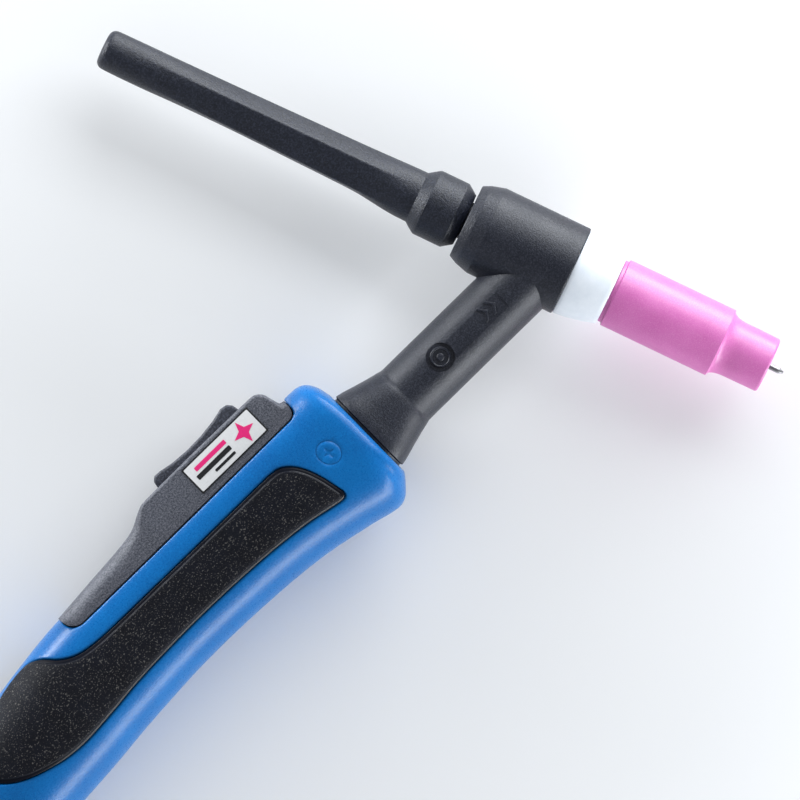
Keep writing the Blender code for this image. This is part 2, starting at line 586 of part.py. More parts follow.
# ---- switch module -------------------------------------------------------------------------------
def module_ring(s, top, corner, inset):
    """Half of the module's arch at station s from one foot over the top to the other, as (x, y, z)."""
    top, width = top - inset, MODULE_HALF_WIDTH - inset
    corner = max(corner - inset, 0.4)
    foot = MODULE_SEAM + GAP / 2
    right = [(foot, width)] + [(top - corner + corner * math.sin(math.radians(a)),
                                width - corner + corner * math.cos(math.radians(a))) for a in (0, 30, 60, 90)]
    return [(-s, y, z) for y, z in right] + [(-s, y, -z) for y, z in reversed(right)]


def make_module(body_frame):
    """The grey switch housing with its label plates, carrier, board, microswitches and rocker."""
    outer_stations = [row[0] for row in MODULE[:6]] + [119.0, 120.5, 122.5, 124.5, 127.0, 130.0, 141.0, 153.5]
    form = piece("switch_module_housing", loft(
        [module_ring(s, *smooth_at(MODULE, s), 0.0) for s in outer_stations]), body_frame, "grey_plastic")
    inner_stations = [77.6, 79.5, 117.5, 121.0, 126.0, 133.0, 151.5]
    inner = [module_ring(s, min(smooth_at(MODULE, s)[0], 27.3), smooth_at(MODULE, s)[1], MODULE_WALL)
             for s in inner_stations]
    inner = [[(x, y if y > MODULE_SEAM + 1 else MODULE_SEAM - 5, z) for x, y, z in ring] for ring in inner]
    hollow = piece("module_hollow_cutter", loft(inner), body_frame)
    front, rear, half_width = ROCKER_SLOT
    slot = piece("rocker_slot_cutter", box(-rear, -front, 20, 35, -half_width, half_width), body_frame)
    edge = piece("module_edge_form", prism(pocket_outline(-GAP), -30, 30), body_frame)
    boolean(form, "INTERSECT", edge)
    boolean(form, "DIFFERENCE", hollow, slot)
    for side, hand in ((1, "left"), (-1, "right")):
        low, high = sorted((side * (MODULE_HALF_WIDTH - LABEL_RECESS), side * 20))
        opening = box(-LABEL_REAR - GAP, -LABEL_FRONT + GAP, LABEL_BOTTOM - GAP, LABEL_TOP + GAP, low, high)
        recess = piece(f"label_recess_cutter_{hand}", opening, body_frame)
        boolean(form, "DIFFERENCE", recess)
        inner_face = side * (MODULE_HALF_WIDTH - LABEL_RECESS + GAP)
        low, high = sorted((inner_face, inner_face + side * LABEL_THICKNESS))
        plate = box(-LABEL_REAR, -LABEL_FRONT, LABEL_BOTTOM, LABEL_TOP, low, high)
        piece(f"label_plate_{hand}", plate, body_frame, "label")

    front, rear, half_width, low, high = CARRIER
    carrier = piece("switch_carrier", box(-rear, -front, low, high, -half_width, half_width), body_frame,
                    "grey_plastic")
    middle = -PIVOT_STATION
    for side, hand in ((1, "left"), (-1, "right")):
        z0, z1 = sorted((side * EAR_INSIDE, side * EAR_OUTSIDE))
        block = box(middle - EAR_HALF_LENGTH, middle + EAR_HALF_LENGTH, low + 0.5, EAR_TOP, z0, z1)
        ear = piece(f"ear_form_{hand}", block, body_frame)
        boolean(carrier, "UNION", ear)
    pin_hole = piece("pin_hole_cutter", rod(middle, PIVOT_HEIGHT, PIN_RADIUS + GAP, -15, 15, 16), body_frame)
    boolean(carrier, "DIFFERENCE", pin_hole)
    piece("rocker_pin", rod(middle, PIVOT_HEIGHT, PIN_RADIUS, -EAR_OUTSIDE, EAR_OUTSIDE, 16), body_frame,
          "steel")

    front, rear, half_width, low, high = BOARD
    piece("switch_board", box(-rear, -front, low, high, -half_width, half_width), body_frame, "board")
    piece("control_connector", box(-115.5, -111.5, high + GAP, high + 5.0, -4.5, 4.5), body_frame, "label")
    length, half_width, low, high = MICROSWITCH
    for end, hand in ((1, "front"), (-1, "rear")):
        x = middle + end * LUG_REACH
        case = box(x - length / 2, x + length / 2, low, high, -half_width, half_width)
        switch = piece(f"microswitch_{hand}", case, body_frame, "cap_plastic")
        well = piece(f"plunger_well_cutter_{hand}", along_height(
            PLUNGER_RADIUS + GAP, PLUNGER_FOOT - 0.9, high + 2, 16), body_frame, at=(x, 0, 0))
        boolean(switch, "DIFFERENCE", well)
        plunger = along_height(PLUNGER_RADIUS, PLUNGER_FOOT, PLUNGER_TOP, 16)
        piece(f"switch_plunger_{hand}", plunger, body_frame, "label", (x, 0, 0))
    make_rocker(body_frame)


def along_height(radius, low, high, steps):
    """A cylinder along Y."""
    bm = turned([(low, 0.0), (low, radius), (high, radius), (high, 0.0)], steps)
    for v in bm.verts:
        v.co = Vector((-v.co.y, v.co.x, v.co.z))
    return bm


def make_rocker(body_frame):
    """The rocker: a crowned button on a web with a pin hole, and a lug over each plunger.

    Its origin is on the pin.
    """
    at = (-PIVOT_STATION, PIVOT_HEIGHT, 0.0)

    def local(s, height):
        return (-s - at[0], height - at[1])

    outline = [local(s, height) for s, height in ROCKER_TOP]
    outline += [local(ROCKER_TOP[-1][0], ROCKER_FLOOR), local(ROCKER_TOP[0][0], ROCKER_FLOOR)]
    button = prism(outline, -ROCKER_HALF_WIDTH, ROCKER_HALF_WIDTH)
    rocker = piece("rocker_button", button, body_frame, "grey_plastic", at)
    web_low, web_high = -PIN_RADIUS - 1.0, ROCKER_FLOOR - PIVOT_HEIGHT + 1.0
    web = piece("rocker_web_form", box(-WEB_HALF_LENGTH, WEB_HALF_LENGTH, web_low, web_high, -WEB_HALF_WIDTH,
                                       WEB_HALF_WIDTH), body_frame, at=at)
    boolean(rocker, "UNION", web)
    for end, hand in ((1, "front"), (-1, "rear")):
        lug = piece(f"rocker_lug_form_{hand}", along_height(LUG_RADIUS, LUG_END - at[1], web_high + 0.2, 16),
                    body_frame, at=(at[0] + end * LUG_REACH, at[1], 0))
        boolean(rocker, "UNION", lug)
    hole = piece("rocker_hole_cutter", rod(0, 0, PIN_RADIUS + GAP, -15, 15, 16), body_frame, at=at)
    boolean(rocker, "DIFFERENCE", hole)


# ---- rear cable inlet ----------------------------------------------------------------------------
def make_inlet(body_frame):
    """A collar in the handle's rear end that holds a ball, through which the hose package comes in."""
    seat = BALL_RADIUS + GAP
    at = (-BALL_CENTRE, INLET_HEIGHT, 0.0)
    start, rear = BALL_CENTRE - SPIGOT_START, BALL_CENTRE - COLLAR_REAR
    shoulder = BALL_CENTRE - HANDLE_REAR - GAP
    spherical = []
    for k in range(5):
        x = 4.5 + (rear - 4.5) * k / 4
        spherical.append((x, math.sqrt(seat**2 - x**2)))
    collar = [(start, math.sqrt(seat**2 - 4.5**2) + 0.4), (start, SPIGOT_RADIUS), (shoulder, SPIGOT_RADIUS),
              (shoulder, COLLAR_RADIUS - 0.3), (shoulder - 0.4, COLLAR_RADIUS),
              (rear + 1.2, COLLAR_RADIUS - 0.2), (rear, COLLAR_RADIUS - 1.4)]
    piece("rear_collar", turned(collar + list(reversed(spherical)), 28), body_frame, "grip_rubber", at)

    half_turn = math.degrees(math.asin(OUTLET_RADIUS / BALL_RADIUS))
    sphere = arc(0, 0, BALL_RADIUS, 45, 180 - half_turn, 7)
    end = BALL_CENTRE - OUTLET_END
    outlet = [(end + 6.0, OUTLET_RADIUS), (end + 5.6, 9.6), (end + 0.6, 9.6), (end, 9.0), (end, INLET_BORE)]
    ball = [(sphere[0][0], INLET_BORE)] + sphere + outlet
    piece("swivel_ball", turned(ball, 28), body_frame, "cap_plastic", at)


def main():
    for old in list(bpy.data.objects):
        bpy.data.objects.remove(old, do_unlink=True)
    body_frame = bpy.data.objects.new("body_frame", None)
    body_frame.location = Vector(CROSSING) * MM
    head_frame = bpy.data.objects.new("head_frame", None)
    head_frame.parent = body_frame
    head_frame.rotation_euler = (0, 0, math.radians(HEAD_ANGLE))
    for empty in (body_frame, head_frame):
        bpy.context.scene.collection.objects.link(empty)
    make_head(head_frame, body_frame)
    make_front_end(head_frame)
    make_back_cap(head_frame)
    make_lines(body_frame)
    make_handle(body_frame)
    make_module(body_frame)
    make_inlet(body_frame)


main()
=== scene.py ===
import json
import math

import bmesh
import bpy
import numpy as np
from mathutils import Matrix, Vector
from mathutils.geometry import delaunay_2d_cdt


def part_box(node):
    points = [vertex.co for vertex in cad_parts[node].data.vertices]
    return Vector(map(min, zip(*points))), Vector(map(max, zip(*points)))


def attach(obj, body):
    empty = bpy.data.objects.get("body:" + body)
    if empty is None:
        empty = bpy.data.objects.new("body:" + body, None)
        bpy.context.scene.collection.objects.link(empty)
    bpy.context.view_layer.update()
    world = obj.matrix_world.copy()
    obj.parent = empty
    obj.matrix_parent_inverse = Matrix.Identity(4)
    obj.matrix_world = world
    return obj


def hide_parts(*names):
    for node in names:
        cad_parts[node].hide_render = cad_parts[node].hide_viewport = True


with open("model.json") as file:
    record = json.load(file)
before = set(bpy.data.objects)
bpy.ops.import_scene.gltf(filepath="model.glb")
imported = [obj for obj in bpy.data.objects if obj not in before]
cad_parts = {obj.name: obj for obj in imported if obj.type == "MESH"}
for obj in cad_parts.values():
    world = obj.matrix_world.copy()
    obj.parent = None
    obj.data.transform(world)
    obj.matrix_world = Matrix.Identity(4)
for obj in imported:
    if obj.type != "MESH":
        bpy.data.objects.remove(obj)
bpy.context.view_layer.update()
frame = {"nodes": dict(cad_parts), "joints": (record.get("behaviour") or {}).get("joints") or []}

# Shapes are worked out in millimetres in two frames that share an origin, where the head's and the neck's
# centrelines cross. In both, z points out of the torch's left side.
#   body frame: x along the handle towards the head, y towards the switch. A "station" s lies at x = -s.
#   head frame: x along the head towards the nozzle, y towards the side away from the handle.
MM = 0.001
joints = {j["name"]: j for j in frame["joints"]}
head_axis = -Vector(joints["cap_turn"]["axis"])
BODY = Matrix.Translation(joints["cap_turn"]["pos_m"])
HEAD = BODY @ Matrix.Rotation(math.atan2(head_axis.y, head_axis.x), 4, "Z")


def station_and_height(node):
    """A CAD node's box in the body frame: (front station, rear station, bottom, top)."""
    low, high = (BODY.inverted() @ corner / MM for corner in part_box(node))
    return -high.x, -low.x, low.y, high.y


# ---- meshes ----
def solid(name, shape, place, look=None, replaces=(), body="torch", slot=None, sharp=35.0):
    """A piece from (points in millimetres, faces), put at place and riding on a CAD body. Without a look it is
    a tool. Only place's shift stays on the object, and its turn goes into the mesh, for a tight box."""
    vertices, faces = shape
    mesh = bpy.data.meshes.new(name)
    turn = place.to_3x3()
    mesh.from_pydata([turn @ (Vector(v) * MM) for v in vertices], [], faces)
    made = bpy.data.objects.new(name, mesh)
    bpy.context.scene.collection.objects.link(made)
    tidy_normals(mesh)
    mesh.shade_smooth()
    mesh.set_sharp_from_angle(angle=math.radians(sharp))
    made.matrix_world = Matrix.Translation(place.translation)
    if look:
        mesh.materials.append(finish[look])
        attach(made, body)
        if replaces:
            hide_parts(*replaces)
        slot = slot or look
    return made


def tidy_normals(mesh):
    bm = bmesh.new()
    bm.from_mesh(mesh)
    bmesh.ops.recalc_face_normals(bm, faces=bm.faces)
    bm.to_mesh(mesh)
    bm.free()


def quarter(steps):
    """Angles from nothing to a right angle."""
    return [math.pi / 2 * k / steps for k in range(steps + 1)]


def circle(steps):
    return [math.tau * k / steps for k in range(steps)]


def mirrored(shape, side):
    """The shape as it is for side 1, and mirrored to the right for side -1."""
    flip = Matrix.Diagonal((1, 1, side, 1))
    return [flip @ Vector(v) for v in shape[0]], shape[1]


def rounded(points, steps=5):
    """An outline of (x, y, corner radius) with its corners rounded."""
    out, count = [], len(points)
    for i, (x, y, radius) in enumerate(points):
        corner = Vector((x, y))
        if radius <= 0:
            out.append((x, y))
            continue
        before = Vector(points[i - 1][:2]) - corner
        after = Vector(points[(i + 1) % count][:2]) - corner
        half = before.angle(after) / 2
        reach = min(radius / math.tan(half), before.length * 0.48, after.length * 0.48)
        start, end = corner + before.normalized() * reach, corner + after.normalized() * reach
        for k in range(steps + 1):
            t = k / steps
            out.append(tuple(start * (1 - t) ** 2 + corner * 2 * t * (1 - t) + end * t**2))
    return out


def turned_mesh(profile, steps=96):
    """Rings of (x, radius) round X. Points on the axis close it, or else the profile closes on itself."""
    vertices, faces, rows = [], [], []
    for x, r in profile:
        if r < 1e-6:
            rows.append([len(vertices)])
            vertices.append((x, 0.0, 0.0))
            continue
        rows.append(list(range(len(vertices), len(vertices) + steps)))
        vertices += [(x, r * math.sin(a), r * math.cos(a)) for a in circle(steps)]
    pairs = list(zip(rows, rows[1:]))
    if len(rows[0]) > 1:
        pairs.append((rows[-1], rows[0]))
    for a, b in pairs:
        for k in range(steps):
            n = (k + 1) % steps
            if len(a) == 1:
                faces.append((a[0], b[n], b[k]))
            elif len(b) == 1:
                faces.append((a[k], a[n], b[0]))
            else:
                faces.append((a[k], a[n], b[n], b[k]))
    return vertices, faces


def loft_mesh(rings):
    """Quads between rings of equal length, with a face over each end."""
    count = len(rings[0])
    vertices = [tuple(point) for ring in rings for point in ring]
    faces = []
    for r in range(len(rings) - 1):
        for i in range(count):
            j = (i + 1) % count
            a, b = r * count, (r + 1) * count
            faces.append((a + i, a + j, b + j, b + i))
    last = (len(rings) - 1) * count
    faces.append(tuple(range(count)))
    faces.append(tuple(last + i for i in reversed(range(count))))
    return vertices, faces


def prism_mesh(outline, low, high):
    return loft_mesh([[(x, y, low) for x, y in outline], [(x, y, high) for x, y in outline]])


def crowned_plate(outline, low, high, edge):
    """A plate seen from above as outline, whose upper edge is rounded by edge."""
    rings = [[(x, y, low) for x, y in outline]]
    for a in quarter(4):
        inset = inset_loop(outline, edge * (1 - math.cos(a)))
        rings.append([(x, y, high - edge + edge * math.sin(a)) for x, y in inset])
    return loft_mesh(rings)


def inset_loop(outline, distance):
    """The loop moved inwards by distance, whichever way it runs."""
    points = [Vector(p[:2]) for p in outline]
    count = len(points)
    area = sum(points[i].cross(points[(i + 1) % count]) for i in range(count))
    side = 1.0 if area > 0 else -1.0
    out = []
    for i, point in enumerate(points):
        a = (point - points[i - 1]).normalized()
        b = (points[(i + 1) % count] - point).normalized()
        along = a + b
        along = along.normalized() if along.length > 1e-6 else a
        stretch = 1 / max(math.sqrt(max((1 + a.dot(b)) / 2, 0.0)), 0.5)
        out.append(tuple(point + Vector((-along.y, along.x)) * distance * side * stretch))
    return out


def smooth_loop(points, per_span):
    """A closed Catmull-Rom curve through the points."""
    count, curve = len(points), []
    for i in range(count):
        a, b, c, d = (Vector(points[(i + k) % count]) for k in (-1, 0, 1, 2))
        for step in range(per_span):
            t = step / per_span
            curve.append(tuple(0.5 * ((2 * b) + (c - a) * t + (2 * a - 5 * b + 4 * c - d) * t**2
                                      + (3 * b - a - 3 * c + d) * t**3)))
    return curve


def even_loop(points, spacing):
    """The closed loop walked in equal steps of about spacing."""
    ring = np.array(points + [points[0]], float)
    length = np.concatenate([[0.0], np.cumsum(np.linalg.norm(np.diff(ring, axis=0), axis=1))])
    count = max(int(length[-1] / spacing), 8)
    walk = np.linspace(0, length[-1], count, endpoint=False)
    return [(float(np.interp(w, length, ring[:, 0])), float(np.interp(w, length, ring[:, 1]))) for w in walk]


def cut(target, operation, *tools):
    """Joins or cuts target with each tool by an exact Boolean, applies it and removes the tools."""
    for tool in tools:
        modifier = target.modifiers.new(operation.lower(), "BOOLEAN")
        modifier.operation = operation
        modifier.solver = "EXACT"
        modifier.object = tool
    bpy.context.view_layer.update()
    shaped = bpy.data.meshes.new_from_object(target.evaluated_get(bpy.context.evaluated_depsgraph_get()))
    target.modifiers.clear()
    target.data = shaped
    for tool in tools:
        bpy.data.objects.remove(tool)
    shaped.shade_smooth()
    shaped.set_sharp_from_angle(angle=math.radians(35))


def catmull(table, u):
    """The table's columns at u, by a smooth curve through its rows."""
    keys = [row[0] for row in table]
    u = min(max(u, keys[0]), keys[-1])
    i = max(k for k in range(len(table) - 1) if keys[k] <= u)
    near = [table[max(i - 1, 0)], table[i], table[i + 1], table[min(i + 2, len(table) - 1)]]
    span = near[2][0] - near[1][0]
    t = (u - near[1][0]) / span
    values = []
    for k in range(1, len(table[0])):
        before = (near[2][k] - near[0][k]) / max(near[2][0] - near[0][0], 1e-9) * span
        after = (near[3][k] - near[1][k]) / max(near[3][0] - near[1][0], 1e-9) * span
        values.append(near[1][k] * (2 * t**3 - 3 * t**2 + 1) + before * (t**3 - 2 * t**2 + t)
                      + near[2][k] * (3 * t**2 - 2 * t**3) + after * (t**3 - t**2))
    return values


def oval(angle, top, bottom, half_width, square_top, square_bottom):
    """A point of a squarish oval as (height, sideways); angle 0 is the left side and 90 degrees the top."""
    def power(value, exponent):
        return math.copysign(abs(value) ** exponent, value)
    exponent = 2 / (square_top if math.sin(angle) >= 0 else square_bottom)
    height = (top + bottom) / 2 + (top - bottom) / 2 * power(math.sin(angle), exponent)
    return height, half_width * power(math.cos(angle), exponent)


# ---- materials ----
class Finish:
    """A Principled material with helpers for the nodes that feed it. Scales are in millimetres."""

    def __init__(self, name, roughness, metallic=0.0, **uniform):
        self.material = bpy.data.materials.new(name)
        self.material.use_nodes = True
        self.nodes = self.material.node_tree.nodes
        self.links = self.material.node_tree.links
        self.shader = self.nodes["Principled BSDF"]
        self.shader.inputs["Roughness"].default_value = roughness
        self.shader.inputs["Metallic"].default_value = metallic
        for key, value in uniform.items():
            self.shader.inputs[key.replace("_", " ")].default_value = value
        self.place = self.nodes.new("ShaderNodeTexCoord").outputs["Object"]

    def link(self, output, target):
        self.links.new(output, target)

    def stretched(self, along, across, turn=0.0):
        """Object coordinates turned back about Z by turn degrees, then scaled along X and across it."""
        node = self.nodes.new("ShaderNodeMapping")
        node.vector_type = "TEXTURE"
        node.inputs["Rotation"].default_value = (0.0, 0.0, math.radians(turn))
        node.inputs["Scale"].default_value = (1 / along, 1 / across, 1 / across)
        self.link(self.place, node.inputs["Vector"])
        return node.outputs["Vector"]

    def noise(self, size_mm, detail=2.0, rough=0.5, vector=None):
        node = self.nodes.new("ShaderNodeTexNoise")
        node.inputs["Scale"].default_value = 1000.0 / size_mm
        node.inputs["Detail"].default_value = detail
        node.inputs["Roughness"].default_value = rough
        self.link(vector or self.place, node.inputs["Vector"])
        return node.outputs["Fac"]

    def cells(self, size_mm):
        node = self.nodes.new("ShaderNodeTexVoronoi")
        node.inputs["Scale"].default_value = 1000.0 / size_mm
        self.link(self.place, node.inputs["Vector"])
        return node.outputs["Distance"]

    def attribute(self, name):
        node = self.nodes.new("ShaderNodeAttribute")
        node.attribute_name = name
        return node.outputs["Fac"]

    def spread(self, value, low, high, to_low=0.0, to_high=1.0):
        node = self.nodes.new("ShaderNodeMapRange")
        for socket, number in zip(("From Min", "From Max", "To Min", "To Max"), (low, high, to_low, to_high)):
            node.inputs[socket].default_value = number
        self.link(value, node.inputs["Value"])
        return node.outputs["Result"]

    def times(self, a, b):
        node = self.nodes.new("ShaderNodeMath")
        node.operation = "MULTIPLY"
        self.link(a, node.inputs[0])
        self.link(b, node.inputs[1])
        return node.outputs[0]

    def blend(self, factor, a, b):
        node = self.nodes.new("ShaderNodeMix")
        node.data_type = "RGBA"
        self.link(factor, node.inputs["Factor"])
        for socket, value in zip((node.inputs[6], node.inputs[7]), (a, b)):
            if isinstance(value, tuple):
                socket.default_value = (*value, 1.0)
            else:
                self.link(value, socket)
        return node.outputs[2]

    def bump(self, *layers):
        """Stacks bump layers of (height, depth in millimetres)."""
        normal = None
        for height, depth_mm in layers:
            node = self.nodes.new("ShaderNodeBump")
            node.inputs["Distance"].default_value = depth_mm * MM
            self.link(height, node.inputs["Height"])
            if normal:
                self.link(normal, node.inputs["Normal"])
            normal = node.outputs["Normal"]
        self.link(normal, self.shader.inputs["Normal"])

    def between(self, value, low, high):
        """A colour that runs from low to high over the middle of value's range."""
        return self.blend(self.spread(value, 0.3, 0.7), low, high)

    def colour(self, output):
        self.link(output, self.shader.inputs["Base Color"])

    def roughness(self, value, low, high):
        self.link(self.spread(value, 0.3, 0.7, low, high), self.shader.inputs["Roughness"])


def moulded(name, grain, drift_mm, tones, fleck, flecks, roughness, depths, gloss, even=False):
    """Grained plastic or rubber: grain as (size, detail, roughness), two tones, the fleck's colour and where it
    shows, the roughness's range, which follows the slow drift when even, and the depths of grain and drift."""
    f = Finish(name, sum(roughness) / 2, Specular_IOR_Level=gloss)
    grain = f.noise(*grain)
    drift = f.noise(drift_mm, 2.0)
    f.colour(f.blend(f.spread(grain, *flecks), f.between(drift, *tones), fleck))
    f.roughness(drift if even else grain, *roughness)
    f.bump(*zip((grain, drift), depths))
    return f.material


def grip_rubber():
    """Coarse grain on the pad's core, and a smooth rim."""
    f = Finish("grip_rubber", 0.7, Specular_IOR_Level=0.16)
    core = f.attribute("core")
    grain = f.noise(0.5, 3.0, 0.8)
    specks = f.times(f.spread(f.noise(0.4, 1.0, 0.5), 0.6, 0.72), core)
    drift = f.noise(6.0, 2.0)
    shade = f.between(drift, (0.0015, 0.002, 0.005), (0.003, 0.004, 0.009))
    f.colour(f.blend(specks, shade, (0.1, 0.095, 0.09)))
    f.link(f.spread(core, 0.0, 1.0, 0.3, 0.52), f.shader.inputs["Roughness"])
    f.bump((f.times(grain, core), 0.17))
    return f.material


def pink_ceramic():
    f = Finish("pink_ceramic", 0.5, Specular_IOR_Level=0.9)
    turning = f.noise(1.4, 2.0, 0.5, f.stretched(6.0, 1.0, -70.0))
    grain = f.noise(0.3, 2.0, 0.7)
    cloud = f.noise(7.0, 3.0, 0.6)
    shade = f.between(cloud, (0.6, 0.12, 0.41), (0.66, 0.15, 0.46))
    f.colour(f.blend(f.spread(grain, 0.45, 0.8, 0.0, 0.35), shade, (0.85, 0.42, 0.66)))
    f.roughness(cloud, 0.36, 0.46)
    f.bump((turning, 0.03), (grain, 0.02))
    return f.material


def white_ptfe():
    f = Finish("white_ptfe", 0.35)
    turning = f.noise(1.0, 2.0, 0.5, f.stretched(8.0, 1.0, -70.0))
    cloud = f.noise(5.0, 3.0, 0.6)
    f.colour(f.between(cloud, (0.7, 0.75, 0.81), (0.79, 0.83, 0.88)))
    f.roughness(cloud, 0.3, 0.44)
    f.bump((turning, 0.02))
    return f.material


def metal(name, low, high, scratch_mm=0.5):
    f = Finish(name, 0.3, metallic=1.0)
    scratches = f.noise(scratch_mm, 3.0, 0.7, f.stretched(1.0, 6.0))
    tarnish = f.noise(4.0, 3.0, 0.6)
    f.colour(f.blend(f.spread(tarnish, 0.35, 0.7), low, high))
    f.roughness(scratches, 0.22, 0.42)
    f.bump((scratches, 0.01))
    return f.material


def printed(name, colour):
    f = Finish(name, 0.4)
    paper = f.noise(0.6, 3.0, 0.6)
    worn = tuple(c * 0.93 for c in colour)
    f.colour(f.between(paper, worn, colour))
    f.roughness(paper, 0.35, 0.48)
    f.bump((paper, 0.004))
    return f.material


def circuit_board():
    f = Finish("circuit_board", 0.45)
    tracks = f.cells(2.2)
    f.colour(f.blend(f.spread(tracks, 0.2, 0.3), (0.01, 0.16, 0.05), (0.02, 0.09, 0.03)))
    f.bump((tracks, 0.02))
    return f.material


finish = {
    "head_rubber": moulded(
        "head_rubber", (0.46, 3.0, 0.75), 9.0, ((0.002, 0.0035, 0.01), (0.004, 0.006, 0.014)),
        (0.03, 0.033, 0.048), (0.44, 0.7), (0.36, 0.45), (0.11, 0.15), 0.5, even=True),
    "blue_plastic": moulded(
        "blue_plastic", (0.44, 2.0, 0.7), 14.0, ((0.0, 0.1, 0.33), (0.0, 0.125, 0.39)),
        (0.0, 0.2, 0.55), (0.45, 0.72, 0.0, 0.4), (0.25, 0.36), (0.05, 0.05), 0.3),
    "grip_rubber": grip_rubber(),
    "grey_plastic": moulded(
        "grey_plastic", (0.46, 3.0, 0.75), 8.0, ((0.03, 0.034, 0.048), (0.045, 0.05, 0.068)),
        (0.17, 0.175, 0.205), (0.4, 0.7), (0.42, 0.56), (0.14,), 0.5),
    "rocker_plastic": moulded(
        "rocker_plastic", (0.46, 3.0, 0.7), 7.0, ((0.018, 0.02, 0.03), (0.03, 0.033, 0.046)),
        (0.11, 0.119, 0.158), (0.45, 0.72, 0.0, 0.8), (0.43, 0.57), (0.12, 0.05), 0.48),
    "black_plastic": moulded(
        "black_plastic", (0.46, 3.0, 0.7), 7.0, ((0.002, 0.0035, 0.009), (0.004, 0.006, 0.014)),
        (0.032, 0.038, 0.062), (0.45, 0.72, 0.0, 0.8), (0.33, 0.47), (0.16, 0.05), 0.48),
    "pink_ceramic": pink_ceramic(),
    "white_ptfe": white_ptfe(),
    "brass": metal("brass", (0.55, 0.36, 0.12), (0.72, 0.5, 0.2)),
    "copper": metal("copper", (0.6, 0.27, 0.16), (0.8, 0.42, 0.27)),
    "tungsten": metal("tungsten", (0.3, 0.3, 0.31), (0.45, 0.45, 0.46), 0.3),
    "steel": metal("steel", (0.45, 0.45, 0.47), (0.62, 0.62, 0.64)),
    "label": printed("label_white", (0.8, 0.8, 0.8)),
    # Black ink for the label's printed bars. It is also the painted shadow on the black rim round each label's
    # white face.
    "black_print_and_painted_shadow": printed("black_print_and_painted_shadow", (0.01, 0.01, 0.012)),
    "print_pink": printed("print_pink", (0.85, 0.02, 0.2)),
    "board": circuit_board(),
}


# ---- head, nozzle and cap ----
def nozzle_and_shield():
    front = 63.8
    step = 9.25 - 7.45
    fillet = [(50.2 + 4.0 * (1 - math.cos(a)), 9.25 - 0.25 - (step - 0.25) * math.sin(a), 0)
              for a in quarter(8)[1:]]
    outside = [(19.0, 7.6, 0.2), (19.0, 8.6, 0.25), (19.95, 8.6, 0.1), (20.1, 9.25, 0.25), (50.1, 9.25, 0.2)]
    outside += fillet + [(front, 7.4, 0.8)]
    inside = [(front, 4.75, 0.5), (54.0, 4.75, 1.0), (49.0, 6.9, 1.0), (33.0, 6.9, 0), (33.0, 6.7, 0),
              (19.9, 6.7, 0.3)]
    solid("gas_nozzle_fine", turned_mesh(rounded(outside + inside), 128), HEAD, "pink_ceramic", ["gas_nozzle"],
          "gas_nozzle")

    rear, end = 7.56, 18.95
    bulge = [(rear + 0.3 + (end - rear - 0.6) * t, 11.62 - 2.1 * t**1.55, 0)
             for t in (k / 12 for k in range(13))]
    ring = [(rear, 7.2, 0.2), (rear, 11.45, 0.2)] + bulge
    ring += [(end, 9.25, 0.2), (end, 6.8, 0.2), (11.2, 6.8, 0), (11.2, 7.2, 0)]
    solid("heat_shield_fine", turned_mesh(rounded(ring), 128), HEAD, "white_ptfe", ["insulator_ring"])

    tip, radius = 67.9, 0.8
    rod = [(tip - 175.0, 0.0, 0), (tip - 175.0, radius, 0.1), (tip - 1.3, radius, 0.4), (tip, 0.28, 0.1),
           (tip, 0.0, 0)]
    solid("electrode_fine", turned_mesh(rounded(rod), 32), HEAD, "tungsten", ["tungsten_electrode"],
          "electrode")


def cap_radius(angle, radius, flat_share, corner=0.055):
    """The cap's radius at an angle, with its five flats; corner softens the edges between them."""
    pitch = math.tau / 5
    total = 0.0
    for shift in (-corner, 0.0, corner):
        off = ((angle + shift) % pitch) - pitch / 2
        flat = radius * math.cos(pitch / 2) / math.cos(off)
        total += radius + (flat - radius) * flat_share
    return total / 3


def back_cap():
    """x, radius and share of the flats' depth along the cap; the collar and the tail's end are round."""
    body = [(-123.5, 5.35, 0.0), (-118.0, 5.42, 0.0), (-112.0, 5.5, 0.12), (-104.0, 5.62, 0.42),
            (-95.0, 5.78, 0.66), (-85.0, 5.96, 0.8), (-70.0, 6.25, 0.84), (-56.0, 6.52, 0.84),
            (-51.0, 6.62, 0.74), (-47.0, 6.7, 0.45), (-43.0, 6.78, 0.14), (-40.0, 6.84, 0.0), (-36.6, 6.9, 0.0)]
    rows = []
    end = -125.9
    for a in quarter(8):
        rows.append((end + 2.0 * (1 - math.sin(math.pi / 2 - a)), 5.32 - 2.0 + 2.0 * math.sin(a), 0.0))
    x = -123.5
    while x < -36.8:
        rows.append((x, *catmull(body, x)))
        x += 0.9
    collar = rounded([(-36.7, 6.9, 0.0), (-36.5, 6.92, 0.15), (-34.2, 8.55, 0.25), (-33.5, 8.95, 0.3),
                      (-25.7, 8.95, 0.3), (-22.9, 6.95, 0.15), (-22.8, 5.0, 0.0), (-10.0, 5.0, 0.2),
                      (-10.0, 2.0, 0.0)], 4)
    rows += [(cx, r, 0.0) for cx, r in collar]
    rings = []
    for x, r, share in rows:
        ring = []
        for a in circle(160):
            turn = a + math.radians(20.0)
            rr = cap_radius(a, r, share)
            ring.append((x, rr * math.sin(turn), rr * math.cos(turn)))
        rings.append(ring)
    solid("back_cap_fine", loft_mesh(rings), HEAD, "black_plastic", ["back_cap"], "back_cap", sharp=30.0)


# station, half height, half width, squareness
NECK = [
    (0.0, 8.8, 10.0, 2.0),
    (49.0, 8.8, 10.0, 2.0),
    (50.5, 8.85, 10.05, 2.0),
    (51.3, 9.1, 10.3, 2.2),
    (54.0, 9.75, 10.7, 2.4),
    (58.0, 10.85, 11.2, 2.7),
    (62.0, 12.0, 11.8, 3.0),
    (65.0, 12.4, 11.8, 3.0),
    (73.0, 12.4, 11.8, 3.0),
]


